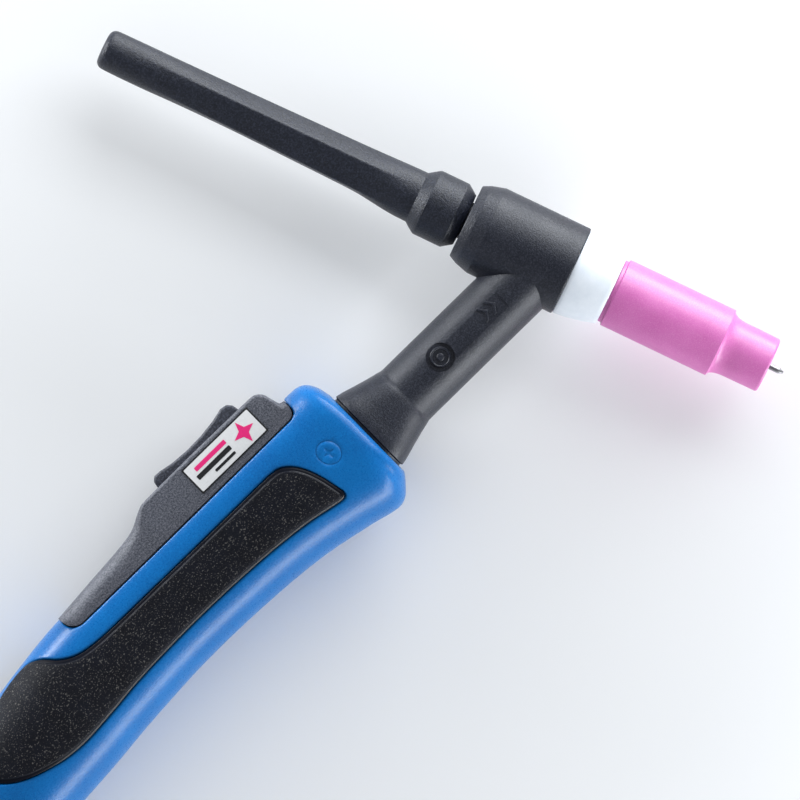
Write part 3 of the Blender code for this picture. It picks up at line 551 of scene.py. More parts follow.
def head_cover():
    """The moulded cover of head and neck, with a flat on each side of the neck for its marks."""
    profile = rounded([(-22.5, 0.0, 0), (-22.5, 9.9, 0.5), (-20.2, 11.0, 1.6), (-16.6, 12.0, 1.5),
                       (7.5, 12.0, 0.35), (7.5, 0.0, 0)], 6)
    cover = solid("head_cover_fine", turned_mesh(profile, 160), HEAD, "head_rubber", ["head_insulation"])
    stations = [0.0, *np.arange(2.0, 49.0, 2.0), *np.arange(49.0, 63.0, 0.5), 63.2, 63.5, 73.0]
    rings = []
    for s in map(float, stations):
        half_height, half_width, square = catmull(NECK, s)
        sunk = 0.55 * min(max((s - 63.2) / 0.3, 0.0), 1.0)
        half_height, half_width = half_height - sunk, half_width - sunk
        ring = [oval(a, half_height, -half_height, half_width, square, square) for a in circle(120)]
        rings.append([(-s, height, sideways) for height, sideways in ring])
    cut(cover, "UNION", solid("neck", loft_mesh(rings), BODY))
    bore = [(-30.0, 0.0), (-30.0, 7.2), (-20.6, 7.2), (-20.6, 9.3), (12.0, 9.3), (12.0, 0.0)]
    hollow = [[(-s, 6.6 * math.sin(a), 7.8 * math.cos(a)) for a in circle(64)] for s in (6.0, 78.0)]
    tools = [solid("bore", turned_mesh(bore, 64), HEAD), solid("hollow", loft_mesh(hollow), BODY)]
    for side in (1, -1):
        flat = rounded([(-40.8, -2.3, 2.9), (-15.2, -2.3, 0.8), (-15.2, 3.7, 0.8), (-40.8, 3.7, 2.9)], 8)
        low, high = sorted((side * 9.55, side * 14.0))
        tools.append(solid(f"flat_{side}", prism_mesh(flat, low, high), BODY))
        disc = [(-37.0 + 3.75 * math.cos(a), 0.7 + 3.75 * math.sin(a)) for a in circle(64)]
        low, high = sorted((side * 8.75, side * 14.0))
        tools.append(solid(f"disc_{side}", prism_mesh(disc, low, high), BODY))
    cut(cover, "DIFFERENCE", *tools)


def neck_marks():
    """Plain shapes in the disc and on the flat: a ring with a stud, and two arrowheads towards the nozzle."""
    floor = 8.7
    ring = [(floor, 2.1), (floor + 0.35, 2.15), (floor + 0.5, 2.3), (floor + 0.5, 2.55), (floor + 0.35, 2.7),
            (floor, 2.75)]
    stud = [(floor, 0.0), (floor, 1.05), (floor + 0.35, 0.95), (floor + 0.5, 0.75), (floor + 0.5, 0.0)]
    for side, hand in ((1, "left"), (-1, "right")):
        vertices, faces = turned_mesh(ring, 48)
        stud_vertices, stud_faces = turned_mesh(stud, 32)
        faces += [tuple(i + len(vertices) for i in f) for f in stud_faces]
        upright = [(-37.0 - z, 0.7 + y, x) for x, y, z in vertices + stud_vertices]
        solid(f"neck_disc_mark_{hand}", mirrored((upright, faces), side), BODY, "head_rubber")
        for k in range(2):
            x = -21.6 + 2.7 * k
            arrow = [(x, -1.3), (x + 1.7, 0.9), (x, 3.1), (x - 0.75, 3.1), (x + 0.75, 0.9), (x - 0.75, -1.3)]
            plate = crowned_plate(arrow, 9.3, 9.85, 0.2)
            solid(f"neck_arrow_{k + 1}_{hand}", mirrored(plate, side), BODY, "head_rubber")


# ---- handle ----
# key, station, top, bottom, half width. The keys below 64.2 run from inside the mouth out over its lip.
HANDLE = [
    (58.0, 69.5, 13.0, -13.0, 12.3),
    (62.6, 65.0, 13.0, -13.0, 12.3),
    (63.3, 64.4, 13.05, -13.05, 12.35),
    (63.8, 64.15, 13.4, -13.3, 12.55),
    (64.2, 64.2, 13.9, -13.9, 13.4),
    (64.8, 64.8, 16.6, -14.8, 14.8),
    (66.2, 66.2, 19.3, -16.4, 15.7),
    (68.4, 68.4, 20.8, -18.6, 16.0),
    (71.5, 71.5, 21.1, -19.5, 16.05),
    (80.0, 80.0, 21.1, -17.6, 16.0),
    (95.0, 95.0, 21.1, -14.8, 15.6),
    (115.0, 115.0, 21.1, -13.3, 15.2),
    (135.0, 135.0, 21.2, -13.1, 15.2),
    (155.0, 155.0, 21.0, -14.3, 15.8),
    (170.0, 170.0, 19.4, -15.8, 16.3),
    (188.0, 188.0, 16.4, -17.2, 16.0),
    (203.0, 203.0, 12.4, -19.0, 15.3),
    (211.5, 211.5, 10.4, -19.2, 14.85),
    (212.0, 212.0, 10.0, -18.9, 14.5),
    (213.5, 212.0, 7.6, -16.5, 12.1),
]
REAR = 211.5
ARC = 54.0                     # the half section's length that the flat layout is drawn at
SAMPLES = 181


def handle_layout():
    """The left half of the handle as a grid of points: keys, stations, heights and sideways places.
    The second index runs evenly along the half section, from the belly's middle to the back's."""
    keys = np.concatenate([np.linspace(58.0, 62.6, 6)[:-1], np.linspace(62.6, 69.0, 65)[:-1],
                           np.linspace(69.0, REAR, 286)[:-1], np.linspace(REAR, HANDLE[-1][0], 9)])
    grid = np.zeros((len(keys), SAMPLES, 3))
    angles = np.linspace(-math.pi / 2, math.pi / 2, 1441)
    for i, key in enumerate(keys):
        s, top, bottom, half_width = catmull(HANDLE, key)
        roundness = min(max((s - 165.0) / 47.0, 0.0), 1.0)
        square_top = 3.0 - roundness
        lip = min(max((key - 62.6) / 4.0, 0.0), 1.0)
        square_bottom = 3.0 + (2.3 - 3.0) * lip - 0.3 * roundness
        curve = np.array([oval(a, top, bottom, half_width, square_top, square_bottom) for a in angles])
        length = np.concatenate([[0.0], np.cumsum(np.linalg.norm(np.diff(curve, axis=0), axis=1))])
        even = np.linspace(0, length[-1], SAMPLES)
        grid[i, :, 0] = -s
        grid[i, :, 1] = np.interp(even, length, curve[:, 0])
        grid[i, :, 2] = np.interp(even, length, curve[:, 1])
    along_key = np.gradient(grid, axis=0)
    along_arc = np.gradient(grid, axis=1)
    normal = np.cross(along_key, along_arc)
    normal /= np.linalg.norm(normal, axis=2)[:, :, None]
    middle = SAMPLES // 2
    outwards = 1.0 if normal[len(keys) // 2, middle, 2] > 0 else -1.0
    return keys, grid, normal * outwards


KEYS, GRID, NORMALS = handle_layout()


def sampled(table, layout):
    """The table's values at points (key, arc) of the layout, by bilinear steps."""
    i = np.interp(layout[:, 0], KEYS, np.arange(len(KEYS)))
    j = np.clip(layout[:, 1] / ARC, 0, 1) * (SAMPLES - 1)
    i0, j0 = np.clip(i.astype(int), 0, len(KEYS) - 2), np.clip(j.astype(int), 0, SAMPLES - 2)
    a, b = (i - i0)[:, None], (j - j0)[:, None]
    return ((table[i0, j0] * (1 - a) + table[i0 + 1, j0] * a) * (1 - b)
            + (table[i0, j0 + 1] * (1 - a) + table[i0 + 1, j0 + 1] * a) * b)


def on_layout(s, height):
    """Where a point seen from the side lies in the layout."""
    i = float(np.interp(s, KEYS, np.arange(len(KEYS))))
    i0 = min(int(i), len(KEYS) - 2)
    row = GRID[i0, :, 1] * (1 - i + i0) + GRID[i0 + 1, :, 1] * (i - i0)
    return s, float(np.interp(height, row, np.arange(SAMPLES))) / (SAMPLES - 1) * ARC


def distance_to(points, line, closed=True):
    """Each point's distance to a line of points, and for a closed line, negative inside."""
    line = np.array(line, float)
    ends = np.roll(line, -1, axis=0) if closed else line[1:]
    starts = line if closed else line[:-1]
    best = np.full(len(points), 1e9)
    inside = np.zeros(len(points), bool)
    for a, b in zip(starts, ends):
        ab = b - a
        t = np.clip(((points - a) @ ab) / max(ab @ ab, 1e-12), 0, 1)
        best = np.minimum(best, np.linalg.norm(points - (a + t[:, None] * ab), axis=1))
        crosses = (a[1] > points[:, 1]) != (b[1] > points[:, 1])
        level = a[0] + (points[:, 1] - a[1]) * ab[0] / (ab[1] if abs(ab[1]) > 1e-12 else 1e-12)
        inside ^= crosses & (points[:, 0] < level)
    return np.where(inside, -best, best) if closed else best


# The grip pad's edge, as (station, height), from its front tip along the belly side and back.
PAD_EDGE = [
    (79.0, -5.0), (78.75, -6.6), (79.3, -7.8), (80.8, -8.1), (84.5, -7.4), (90.0, -6.3), (97.0, -5.4),
    (105.0, -4.7), (116.0, -4.2), (128.0, -4.0), (139.0, -4.2), (150.0, -4.7), (160.0, -5.7), (170.0, -6.4),
    (177.0, -5.9), (183.0, -4.4), (188.0, -2.5), (192.5, 0.4), (195.7, 4.3), (196.0, 8.0), (193.5, 11.6),
    (188.0, 14.6), (178.0, 17.4), (171.5, 18.5), (167.3, 18.6), (164.0, 17.0), (160.5, 13.5), (156.5, 11.3),
    (151.0, 10.3), (143.0, 10.0), (130.0, 9.9), (115.0, 9.8), (102.0, 9.8), (93.5, 9.8), (88.9, 9.7),
    (86.0, 9.0), (83.3, 6.7), (81.3, 3.3), (79.9, -0.8),
]
pad_line = even_loop([on_layout(*p) for p in smooth_loop(PAD_EDGE, 12)], 0.45)

SEAM, POCKET_FRONT, POCKET_REAR = 16.0, 73.4, 153.8
FRONT_CORNER, REAR_CORNER = 2.6, 4.2


def pocket_line():
    """The edge of the switch module's opening, open towards the handle's back."""
    def arc(cx, cy, r, start, end):
        turns = (math.radians(start + (end - start) * k / 12) for k in range(13))
        return [(cx + r * math.cos(a), cy + r * math.sin(a)) for a in turns]
    front = arc(POCKET_FRONT + FRONT_CORNER, SEAM + FRONT_CORNER, FRONT_CORNER, 180, 270)
    rear = arc(POCKET_REAR - REAR_CORNER, SEAM + REAR_CORNER, REAR_CORNER, 270, 360)
    between = [(float(s), SEAM) for s in np.arange(77.0, 149.0, 1.0)]
    line = [on_layout(*p) for p in front + between + rear]
    return [(POCKET_FRONT, ARC + 3.0)] + line + [(POCKET_REAR, ARC + 3.0)]


module_line = pocket_line()
MARK = on_layout(74.5, 3.2)            # middle of the round mark on the handle's side
MARK_RINGS = [(2.78, 0.0), (2.9, -0.14), (3.05, -0.14), (3.2, 0.0)]


def spark(radius, waist, cx, cy):
    """The outline of a star with four points."""
    return [(cx + r * math.cos(a), cy + r * math.sin(a)) for a, r in zip(circle(8), (radius, waist) * 4)]


def layout_grid(front_key, rear_key, step):
    """Points of the layout in staggered rows, closer together over the lip."""
    keys = list(np.linspace(front_key, 62.4, 4)) if front_key < 62.4 else [front_key]
    if front_key < 62.4:
        keys += list(np.arange(62.6, 67.0, 0.22)) + list(np.arange(67.0, 71.0, 0.6))
    keys += list(np.arange(max(keys[-1] + step, 71.0), min(rear_key, 210.9), step))
    if rear_key > 212:
        keys += [211.3, 211.5, 211.7, 211.85, 212.0, 212.3, 213.4]
    points = []
    for row, key in enumerate(keys):
        shift = 0.5 * step if row % 2 else 0.0
        for arc in np.arange(0.6 + shift, ARC - 0.55, step):
            points.append((float(key), float(arc)))
    return points


def layout_mesh(loops, grid_points, keep, outer_depth, thickness, side, extra=None):
    """A skin over part of the handle: triangles in the layout that conform to the loops, lifted on to the
    surface at outer_depth, with an inner face below it. keep says which triangles stay, by their middles."""
    points, edges = [], []
    for loop, closed in loops:
        start = len(points)
        points += [tuple(map(float, p)) for p in loop]
        count = len(loop)
        edges += [(start + k, start + (k + 1) % count) for k in range(count if closed else count - 1)]
    grid_array = np.array(grid_points)
    clear = np.ones(len(grid_array), bool)
    for loop, closed in loops:
        clear &= np.abs(distance_to(grid_array, loop, closed)) > 0.35
    points += [tuple(map(float, p)) for p in grid_array[clear]]
    made = delaunay_2d_cdt([Vector(p) for p in points], edges, [], 0, 1e-5, False)
    flat = np.array([tuple(v) for v in made[0]])
    triangles = [tuple(f) for f in made[2]]
    middles = np.array([flat[list(f)].mean(axis=0) for f in triangles])
    triangles = [f for f, stays in zip(triangles, keep(middles)) if stays]
    used = sorted({i for f in triangles for i in f})
    number = {old: new for new, old in enumerate(used)}
    flat = flat[used]
    triangles = [tuple(number[i] for i in f) for f in triangles]
    surface, normal = sampled(GRID, flat), sampled(NORMALS, flat)
    normal /= np.linalg.norm(normal, axis=1)[:, None]
    depth = outer_depth(flat)
    outer = surface + normal * depth[:, None]
    inner = outer - normal * thickness(flat, depth)[:, None]
    seen = {}
    for f in triangles:
        for a, b in zip(f, f[1:] + f[:1]):
            seen[(a, b)] = True
    rim = [(a, b) for a, b in seen if (b, a) not in seen]
    count = len(flat)
    vertices = np.concatenate([outer, inner])
    vertices[:, 2] = np.maximum(vertices[:, 2], 0.12) * side
    faces = list(triangles)
    faces += [tuple(i + count for i in reversed(f)) for f in triangles]
    faces += [(b, a, a + count, b + count) for a, b in rim]
    return [tuple(v) for v in vertices], faces, (extra(flat) if extra else None)


SEAT_RADIUS, SEAT_WALL, SHANK_HOLE = 2.8, 0.6, 1.7
SCREW_HEAD = 1.6  # the head's height


def screw_seat(name):
    """The opening in the right shell over a screw's head, drawn in the layout, and the sleeve that lines it."""
    node = f"handle_screw_{name}"
    front, rear, bottom, top = station_and_height(node)
    station, height = (front + rear) / 2, (bottom + top) / 2
    floor = (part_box(node)[0].z - BODY.translation.z) / MM + SCREW_HEAD
    steps = 40
    outline, rings = [], [[] for _ in range(8)]
    for a in circle(steps):
        c, t = math.cos(a), math.sin(a)
        rim = on_layout(station - SEAT_RADIUS * c, height + SEAT_RADIUS * t)
        outline.append(rim)
        surface = sampled(GRID, np.array([rim]))[0]
        mouth = -surface[2] + 0.1
        levels = ((SEAT_RADIUS + SEAT_WALL, mouth + 1.6), (SEAT_RADIUS + 0.1, mouth),
                  (SEAT_RADIUS - 0.02, mouth), (SEAT_RADIUS - 0.08, mouth + 0.1), (SEAT_RADIUS - 0.08, floor),
                  (SHANK_HOLE, floor), (SHANK_HOLE, floor + 1.2), (SEAT_RADIUS + SEAT_WALL, floor + 1.2))
        for ring, (r, z) in zip(rings, levels):
            ring.append((-station + r * c, height + r * t, z))
    vertices = [v for ring in rings for v in ring]
    faces = []
    for i in range(len(rings)):
        j = (i + 1) % len(rings)
        for k in range(steps):
            n = (k + 1) % steps
            faces.append((i * steps + k, i * steps + n, j * steps + n, j * steps + k))
    solid(f"screw_seat_{name}", (vertices, faces), BODY, "blue_plastic")
    return outline


def handle_shells():
    step = 1.25
    spark_line = spark(1.9, 0.62, *MARK)
    spark_inner = spark(1.55, 0.42, *MARK)
    loops = [(inset_loop(pad_line, -d), True) for d in (0.62, 0.36, 0.2, 0.12, 0.05)]
    loops += [(module_line, False)]
    loops += [(shifted_open(module_line, d), False) for d in (0.12, 0.35, 0.6)]
    loops += [([(MARK[0] + r * math.cos(a), MARK[1] + r * math.sin(a)) for a in circle(56)], True)
              for r, _ in MARK_RINGS]
    loops += [(even_loop(spark_line, 0.3), True), (even_loop(spark_inner, 0.3), True)]
    edge_keys = sorted({p[0] for p in layout_grid(58.0, 213.5, step)} | {58.0, 213.5})
    for arc in (0.0, 0.12, 0.35, ARC - 0.35, ARC - 0.12, ARC):
        loops.append(([(key, arc) for key in edge_keys], False))
    for key in (58.0, 213.5):
        loops.append(([(key, float(arc)) for arc in np.arange(0.0, ARC + 0.01, step)], False))
    grid_points = layout_grid(58.0, 213.5, step)

    def depth(flat):
        pad = distance_to(flat, pad_line)
        recess = np.interp(pad, [0.05, 0.12, 0.2, 0.36, 0.62], [-1.55, -0.5, -0.24, -0.06, 0.0])
        pocket = np.interp(np.abs(distance_to(flat, module_line, False)), [0.0, 0.12, 0.35, 0.6],
                           [-0.4, -0.16, -0.03, 0.0])
        seam = np.interp(np.minimum(flat[:, 1], ARC - flat[:, 1]), [0.0, 0.12, 0.35], [-0.3, -0.08, 0.0])
        radius = np.linalg.norm(flat - np.array(MARK), axis=1)
        ring = np.interp(radius, [r for r, _ in MARK_RINGS], [d for _, d in MARK_RINGS])
        star = np.interp(distance_to(flat, spark_line), [-0.14, 0.0], [-0.14, 0.0])
        return recess + pocket + seam + ring + star

    for side, hand in ((1, "left"), (-1, "right")):
        seats = [] if side > 0 else [screw_seat(name) for name in ("front", "middle", "rear")]
        openings = [(outline, True) for outline in seats]

        def thickness(flat, depth):
            thick = np.full(len(flat), 0.8)
            for outline, _ in openings:
                thick = np.minimum(thick, np.interp(distance_to(flat, outline), [0.0, 1.0], [0.3, 0.8]))
            return thick

        def keep(middles):
            stays = distance_to(middles, module_line + [module_line[0]]) > 0
            for outline, _ in openings:
                stays &= distance_to(middles, outline) > 0
            return stays

        vertices, faces, _ = layout_mesh(loops + openings, grid_points, keep, depth, thickness, side)
        solid(f"handle_shell_{hand}_fine", (vertices, faces), BODY, "blue_plastic", [f"handle_shell_{hand}"],
              sharp=50.0)


def shifted_open(line, distance):
    """An open line moved to the side that lies outside the switch module's opening."""
    points = [Vector(p) for p in line]
    out = []
    for i, point in enumerate(points):
        a = points[max(i - 1, 0)]
        b = points[min(i + 1, len(points) - 1)]
        along = (b - a).normalized()
        out.append(tuple(point + Vector((along.y, -along.x)) * distance))
    return out


def grip_pads():
    """Soft pads with a smooth rim and a raised, grained core."""
    rim = [(0.0, -0.5), (0.08, -0.16), (0.22, 0.0), (0.82, 0.02), (0.9, 0.05), (1.08, 0.33), (1.17, 0.41),
           (1.32, 0.45)]
    edge = 0.12
    loops = [(inset_loop(pad_line, edge + d), True) for d, _ in rim]
    grid_points = layout_grid(71.0, 205.0, 1.1)

    def keep(middles):
        return distance_to(middles, pad_line) < -edge

    def depth(flat):
        return np.interp(-distance_to(flat, pad_line) - edge, [d for d, _ in rim], [h for _, h in rim])

    def thickness(flat, depth):
        return depth + 1.2

    def core(flat):
        return np.interp(-distance_to(flat, pad_line) - edge, [1.05, 1.3], [0.0, 1.0])

    for side, hand in ((1, "left"), (-1, "right")):
        vertices, faces, cored = layout_mesh(loops, grid_points, keep, depth, thickness, side, core)
        pad = solid(f"grip_pad_{hand}_fine", (vertices, faces), BODY, "grip_rubber", [f"grip_pad_{hand}"],
                    sharp=55.0)
        values = np.concatenate([cored, np.zeros(len(cored))]).astype(np.float32)
        pad.data.attributes.new("core", "FLOAT", "POINT").data.foreach_set("value", values)


# ---- switch module ----
# station, top, corner radius
MODULE = [
    (73.6, 20.7, 2.2),
    (75.0, 21.4, 2.2),
    (75.7, 23.6, 1.8),
    (76.3, 25.7, 1.4),
    (77.6, 26.9, 1.1),
    (79.5, 27.3, 1.0),
    (117.5, 27.3, 1.0),
    (120.0, 26.5, 1.8),
    (124.5, 24.3, 3.2),
    (130.0, 23.3, 4.0),
    (141.0, 22.4, 4.3),
    (153.6, 21.3, 4.3),
]
MODULE_HALF_WIDTH = 13.3
MODULE_WALL = 1.6


def module_foot(s):
    """The module's lower edge, which follows the opening's rounded corners."""
    gap = 0.28
    front, rear = POCKET_FRONT + FRONT_CORNER, POCKET_REAR - REAR_CORNER
    if s < front:
        r = FRONT_CORNER - gap
        return SEAM + FRONT_CORNER - math.sqrt(max(r**2 - (front - s) ** 2, 0.0))
    if s > rear:
        r = REAR_CORNER - gap
        return SEAM + REAR_CORNER - math.sqrt(max(r**2 - (s - rear) ** 2, 0.0))
    return SEAM + gap


def module_housing():
    stations = sorted({73.6, 73.65, 73.75, 73.9, *np.arange(74.1, 80.0, 0.25), *np.arange(80.0, 117.0, 2.0),
                       *np.arange(117.0, 132.0, 0.5), *np.arange(132.0, 149.6, 1.2),
                       *np.arange(149.6, 153.4, 0.3), 153.45, 153.55, 153.6})
    rings = []
    for s in map(float, stations):
        top, corner = catmull(MODULE, s)
        foot = module_foot(s)
        corner = min(corner, (top - foot) * 0.8)
        width = MODULE_HALF_WIDTH
        wall = [(foot + (top - corner - foot) * k / 4, width) for k in range(5)]
        arc = [(top - corner + corner * math.sin(a), width - corner + corner * math.cos(a))
               for a in quarter(8)[1:]]
        crown = [(top, (width - corner) * (1 - k / 4)) for k in range(1, 4)]
        half = wall + arc + crown
        ring = half + [(top, 0.0)] + [(y, -z) for y, z in reversed(half)]
        rings.append([(-s, y, z) for y, z in ring])
    housing = solid("switch_module_fine", loft_mesh(rings), BODY, "grey_plastic", ["switch_module_housing"])
    opening = rounded([(-113.0, -6.55, 1.2), (-82.8, -6.55, 1.2), (-82.8, 6.55, 1.2), (-113.0, 6.55, 1.2)], 6)
    upright = BODY @ Matrix.Translation((0, 0.0212, 0)) @ Matrix.Rotation(math.radians(-90), 4, "X")
    slot_tool = solid("rocker_opening", prism_mesh(opening, 0.0, 8.0), upright)
    inner = []
    for s in (77.6, 79.5, 117.5, 121.0, 126.0, 133.0, 151.5):
        top, corner = catmull(MODULE, s)
        top, corner = min(top, 27.3) - MODULE_WALL, max(corner - MODULE_WALL, 0.4)
        width = MODULE_HALF_WIDTH - MODULE_WALL
        half = [(SEAM - 5.0, width)]
        half += [(top - corner + corner * math.sin(a), width - corner + corner * math.cos(a))
                 for a in quarter(6)]
        inner.append([(-s, y, z) for y, z in half] + [(-s, y, -z) for y, z in reversed(half)])
    cut(housing, "DIFFERENCE", solid("hollow", loft_mesh(inner), BODY), slot_tool)


def module_tongues():
    """Strips inside the handle that close the gap under the module, and stops behind its two ends."""
    for side, hand in ((1, "left"), (-1, "right")):
        strip = rounded([(-153.0, 14.6, 0.3), (-74.2, 14.6, 0.3), (-74.2, 16.8, 0.3), (-153.0, 16.8, 0.3)], 3)
        low, high = sorted((side * 10.5, side * 11.5))
        solid(f"module_tongue_{hand}", prism_mesh(strip, low, high), BODY, "grey_plastic")
    for end, front, rear, top in (("front", 71.8, 76.5, 20.0), ("rear", 150.5, 155.6, 19.6)):
        stop = rounded([(-rear, 14.0, 0.4), (-front, 14.0, 0.4), (-front, top, 0.4), (-rear, top, 0.4)], 3)
        solid(f"module_stop_{end}", prism_mesh(stop, -4.0, 4.0), BODY, "grey_plastic")


def rocker():
    """The button: a saddle between two ridges, with rounded sides."""
    low, half, edge = 25.3, 6.1, 0.8
    top = [(83.4, 26.2, 0), (83.45, 27.0, 0), (83.9, 29.3, 0.5), (84.9, 30.4, 0.6), (86.6, 30.7, 0.8),
           (90.0, 29.9, 2.0), (95.0, 29.25, 3.0), (100.0, 29.1, 3.0), (105.0, 29.4, 2.5), (109.0, 30.15, 0.8),
           (110.9, 30.2, 0.6), (111.9, 29.2, 0.5), (112.35, 27.0, 0), (112.4, 26.2, 0)]
    rings = []
    for s, y in rounded(top, 6):
        side = [(y - edge + edge * math.sin(a), half - edge + edge * math.cos(a)) for a in quarter(6)]
        ring = [(low, half)] + side + [(y, 0.0)] + [(h, -z) for h, z in reversed(side)] + [(low, -half)]
        rings.append([(-s, h, z) for h, z in ring])
    solid("rocker_fine", loft_mesh(rings), BODY, "rocker_plastic", ["rocker_button"], "rocker", "black_plastic",
          sharp=50.0)


def labels():
    """A white plate on each side of the module, with a plain printed pattern and no lettering. Round the white
    face runs a black rim of painted shadow, which stands for the shade in the gap round a recessed plate.
    """
    front, rear, low, high = station_and_height("label_plate_left")
    thickness, face = 0.1, MODULE_HALF_WIDTH
    for side, hand in ((1, "left"), (-1, "right")):
        def plate(name, outline, base, top, paint, replaces=()):
            shape = mirrored(prism_mesh(outline, base, top), side)
            solid(f"{name}_{hand}", shape, BODY, paint, replaces, slot="label")

        def rectangle(s0, s1, y0, y1, r=0.3):
            return rounded([(-s1, y0, r), (-s0, y0, r), (-s0, y1, r), (-s1, y1, r)], 3)

        # A black plate under the white face. The rim of it left showing round the face is painted shadow, drawn
        # in place of the shade in the gap round a recessed plate.
        plate("label_painted_shadow_rim", rectangle(front, rear, low, high), face - 0.3, face + thickness, "black_print_and_painted_shadow",
              [f"label_plate_{hand}"])
        inner = 0.42
        white = rectangle(front + inner, rear - inner, low + inner, high - inner)
        plate("label_face", white, face, face + 0.13, "label")
        middle = (low + high) / 2
        ink = face + 0.16
        plate("label_star", spark(3.3, 1.3, -(front + 4.9), middle), face, ink, "print_pink")
        bars = [(10.0, 20.6, middle + 1.1, middle + 2.3, "print_pink"),
                (10.0, 21.6, middle - 0.95, middle + 0.35, "black_print_and_painted_shadow"),
                (10.0, 17.0, middle - 2.5, middle - 1.75, "black_print_and_painted_shadow")]
        for k, (s0, s1, y0, y1, paint) in enumerate(bars):
            plate(f"label_bar_{k + 1}", rectangle(front + s0, front + s1, y0, y1, 0.25), face, ink, paint)


# ---- cable inlet ----
def inlet():
    ball = Matrix.Translation(joints["inlet_swivel"]["pos_m"])
    radius, seat = 11.3, 11.6
    rear = -5.2
    spherical = [(x, math.sqrt(seat**2 - x**2), 0) for x in np.linspace(rear + 0.4, 4.5, 12)]
    collar = [(rear, 10.9, 0.3)] + [(float(x), float(r), 0) for x, r, _ in spherical]
    collar += [(5.5, 11.1, 0.1), (5.5, 11.8, 0.1), (-2.3, 11.8, 0), (-2.3, 14.5, 0.3),
               (rear + 1.6, 14.45, 0.8), (rear, 13.0, 0.8)]
    solid("rear_collar_fine", turned_mesh(rounded(collar)), ball, "rocker_plastic", ["rear_collar"],
          slot="grip_rubber")
    start, neck, bore, end = 45.0, 8.6, 7.2, -23.0
    finish_at = 180 - math.degrees(math.asin(neck / radius))
    sphere = [(radius * math.cos(a), radius * math.sin(a), 0)
              for a in (math.radians(start + (finish_at - start) * k / 24) for k in range(25))]
    outlet = [(-9.5, neck, 0.4)]
    for k in range(2):
        x = -11.0 - 2.6 * k
        outlet += [(x, neck, 0.15), (x - 0.3, neck - 0.55, 0.15), (x - 1.2, neck - 0.55, 0.15),
                   (x - 1.5, neck, 0.15)]
    outlet += [(end + 6.0, neck, 0.2), (end + 5.6, 9.6, 0.3), (end, 9.6, 0.6), (end, bore, 0.4)]
    profile = [(sphere[0][0], bore, 0.3)] + sphere + outlet
    solid("swivel_ball_fine", turned_mesh(rounded(profile)), ball, "black_plastic", ["swivel_ball"], "swivel")


# ---- pieces kept from the CAD ----
KEPT = {
    "brass": ["torch_body_core", "gas_nipple", "water_supply_nipple", "power_return_nipple"],
    "copper": ["collet_body", "collet", "gas_tube", "water_supply_tube", "power_return_tube"],
    "steel": ["rocker_pin", "handle_screw_front", "handle_screw_middle", "handle_screw_rear"],
    "black_plastic": ["microswitch_front", "microswitch_rear"],
    "rocker_plastic": ["cap_o_ring"],
    "grey_plastic": ["switch_carrier"],
    "board": ["switch_board"],
    "label": ["control_connector", "switch_plunger_front", "switch_plunger_rear"],
}


def dress_kept():
    for look, nodes in KEPT.items():
        for node in nodes:
            mesh = frame["nodes"][node].data
            mesh.materials.clear()
            mesh.materials.append(finish[look])


# ---- floor, lights and camera ----
def pale_floor():
    f = Finish("pale_floor", 0.9)
    cloud = f.noise(300.0, 2.0)
    f.colour(f.between(cloud, (0.93, 0.93, 0.93), (0.96, 0.96, 0.96)))
    mesh = bpy.data.meshes.new("floor")
    size = 4.0
    corners = [(-size, -size, 0), (size, -size, 0), (size, size, 0), (-size, size, 0)]
    mesh.from_pydata(corners, [], [(0, 1, 2, 3)])
    mesh.materials.append(f.material)
    floor = bpy.data.objects.new("floor", mesh)
    bpy.context.scene.collection.objects.link(floor)


VIEW_ROLL = math.radians(25.6)         # how far the head's axis runs down to the right in the picture
VIEW_CENTRE = Vector((-17.9, -48.9, 0.0))  # in the head frame, in millimetres
VIEW_WIDTH = 205.7
LENS, SENSOR = 400.0, 36.0


def view_axes():
    """The picture's right and up directions in the row frame."""
    along, across = HEAD.col[0].xyz, HEAD.col[1].xyz
    right = along * math.cos(VIEW_ROLL) + across * math.sin(VIEW_ROLL)
    up = across * math.cos(VIEW_ROLL) - along * math.sin(VIEW_ROLL)
    return right, up


def camera():
    right, up = view_axes()
    target = HEAD @ (VIEW_CENTRE * MM)
    distance = LENS * VIEW_WIDTH / SENSOR * MM
    data = bpy.data.cameras.new("camera")
    data.lens, data.sensor_width = LENS, SENSOR
    made = bpy.data.objects.new("camera", data)
    back = Vector((0, 0, 1))
    rotation = Matrix((right, up, back)).transposed().to_4x4()
    made.matrix_world = Matrix.Translation(target + back * distance) @ rotation
    bpy.context.scene.collection.objects.link(made)
    bpy.context.scene.camera = made


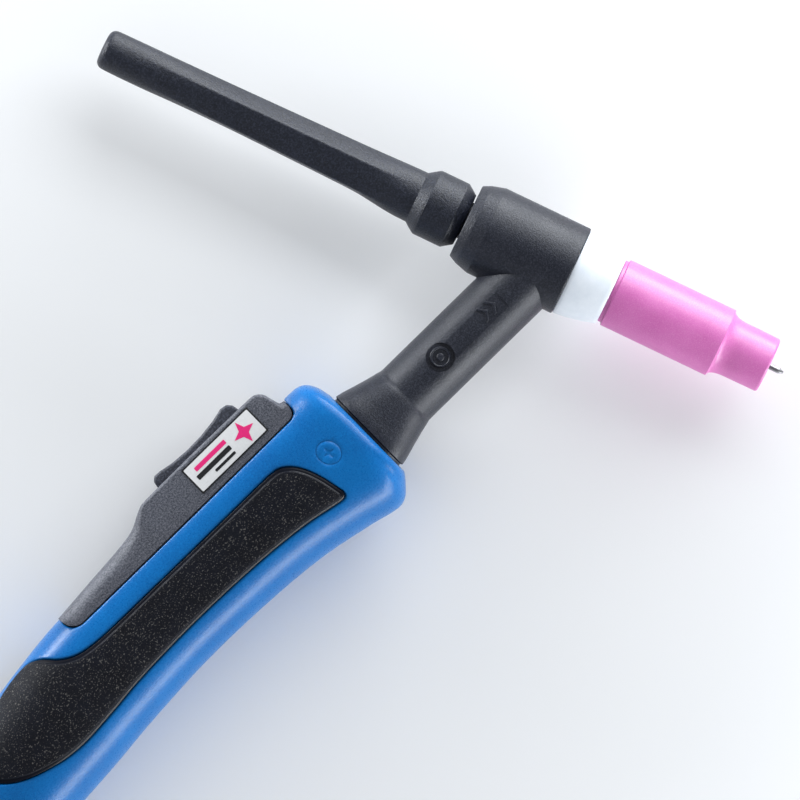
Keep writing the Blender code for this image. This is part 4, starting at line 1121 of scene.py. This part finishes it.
def area_light(name, bearing, elevation, distance, width, length, power):
    """A soft light aimed at the view's centre. Its bearing runs anticlockwise from the picture's right, its
    elevation is above the floor, both in degrees; distance and size are in metres."""
    right, up = view_axes()
    target = HEAD @ (VIEW_CENTRE * MM)
    turn, lift = math.radians(bearing), math.radians(elevation)
    level = right * math.cos(turn) + up * math.sin(turn)
    place = target + (level * math.cos(lift) + Vector((0, 0, math.sin(lift)))) * distance
    data = bpy.data.lights.new(name, "AREA")
    data.shape, data.size, data.size_y, data.energy = "RECTANGLE", width, length, power
    data.color = (0.93, 0.965, 1.0)
    made = bpy.data.objects.new(name, data)
    aim = (target - place).to_track_quat("-Z", "Y")
    made.matrix_world = Matrix.Translation(place) @ aim.to_matrix().to_4x4()
    bpy.context.scene.collection.objects.link(made)


def lights():
    """A pale room that is darkest overhead, a high and a low key light beyond the head, a strip beyond the
    handle's belly and a weak light beyond its rear end."""
    world = bpy.data.worlds.new("studio")
    world.use_nodes = True
    nodes, links = world.node_tree.nodes, world.node_tree.links
    split = nodes.new("ShaderNodeSeparateXYZ")
    links.new(nodes.new("ShaderNodeTexCoord").outputs["Generated"], split.inputs["Vector"])
    ramp = nodes.new("ShaderNodeMapRange")
    for socket, value in zip(("From Min", "From Max", "To Min", "To Max"), (-0.1, 0.5, 0.92, 0.3)):
        ramp.inputs[socket].default_value = value
    links.new(split.outputs["Z"], ramp.inputs["Value"])
    background = nodes["Background"]
    background.inputs["Color"].default_value = (0.93, 0.96, 1.0, 1.0)
    links.new(ramp.outputs["Result"], background.inputs["Strength"])
    bpy.context.scene.world = world
    area_light("key", 60.0, 34.0, 0.95, 1.1, 0.5, 6.5)
    area_light("low_key", 64.0, 5.0, 0.95, 1.0, 0.3, 12.0)
    area_light("belly_strip", -45.0, 11.0, 0.9, 0.9, 0.12, 8.5)
    area_light("rear_light", 152.0, 9.0, 0.95, 0.5, 0.22, 10.0)


nozzle_and_shield()
back_cap()
head_cover()
neck_marks()
handle_shells()
grip_pads()
module_housing()
module_tongues()
rocker()
labels()
inlet()
dress_kept()
pale_floor()
lights()
camera()
bpy.context.scene.view_settings.view_transform = "Standard"
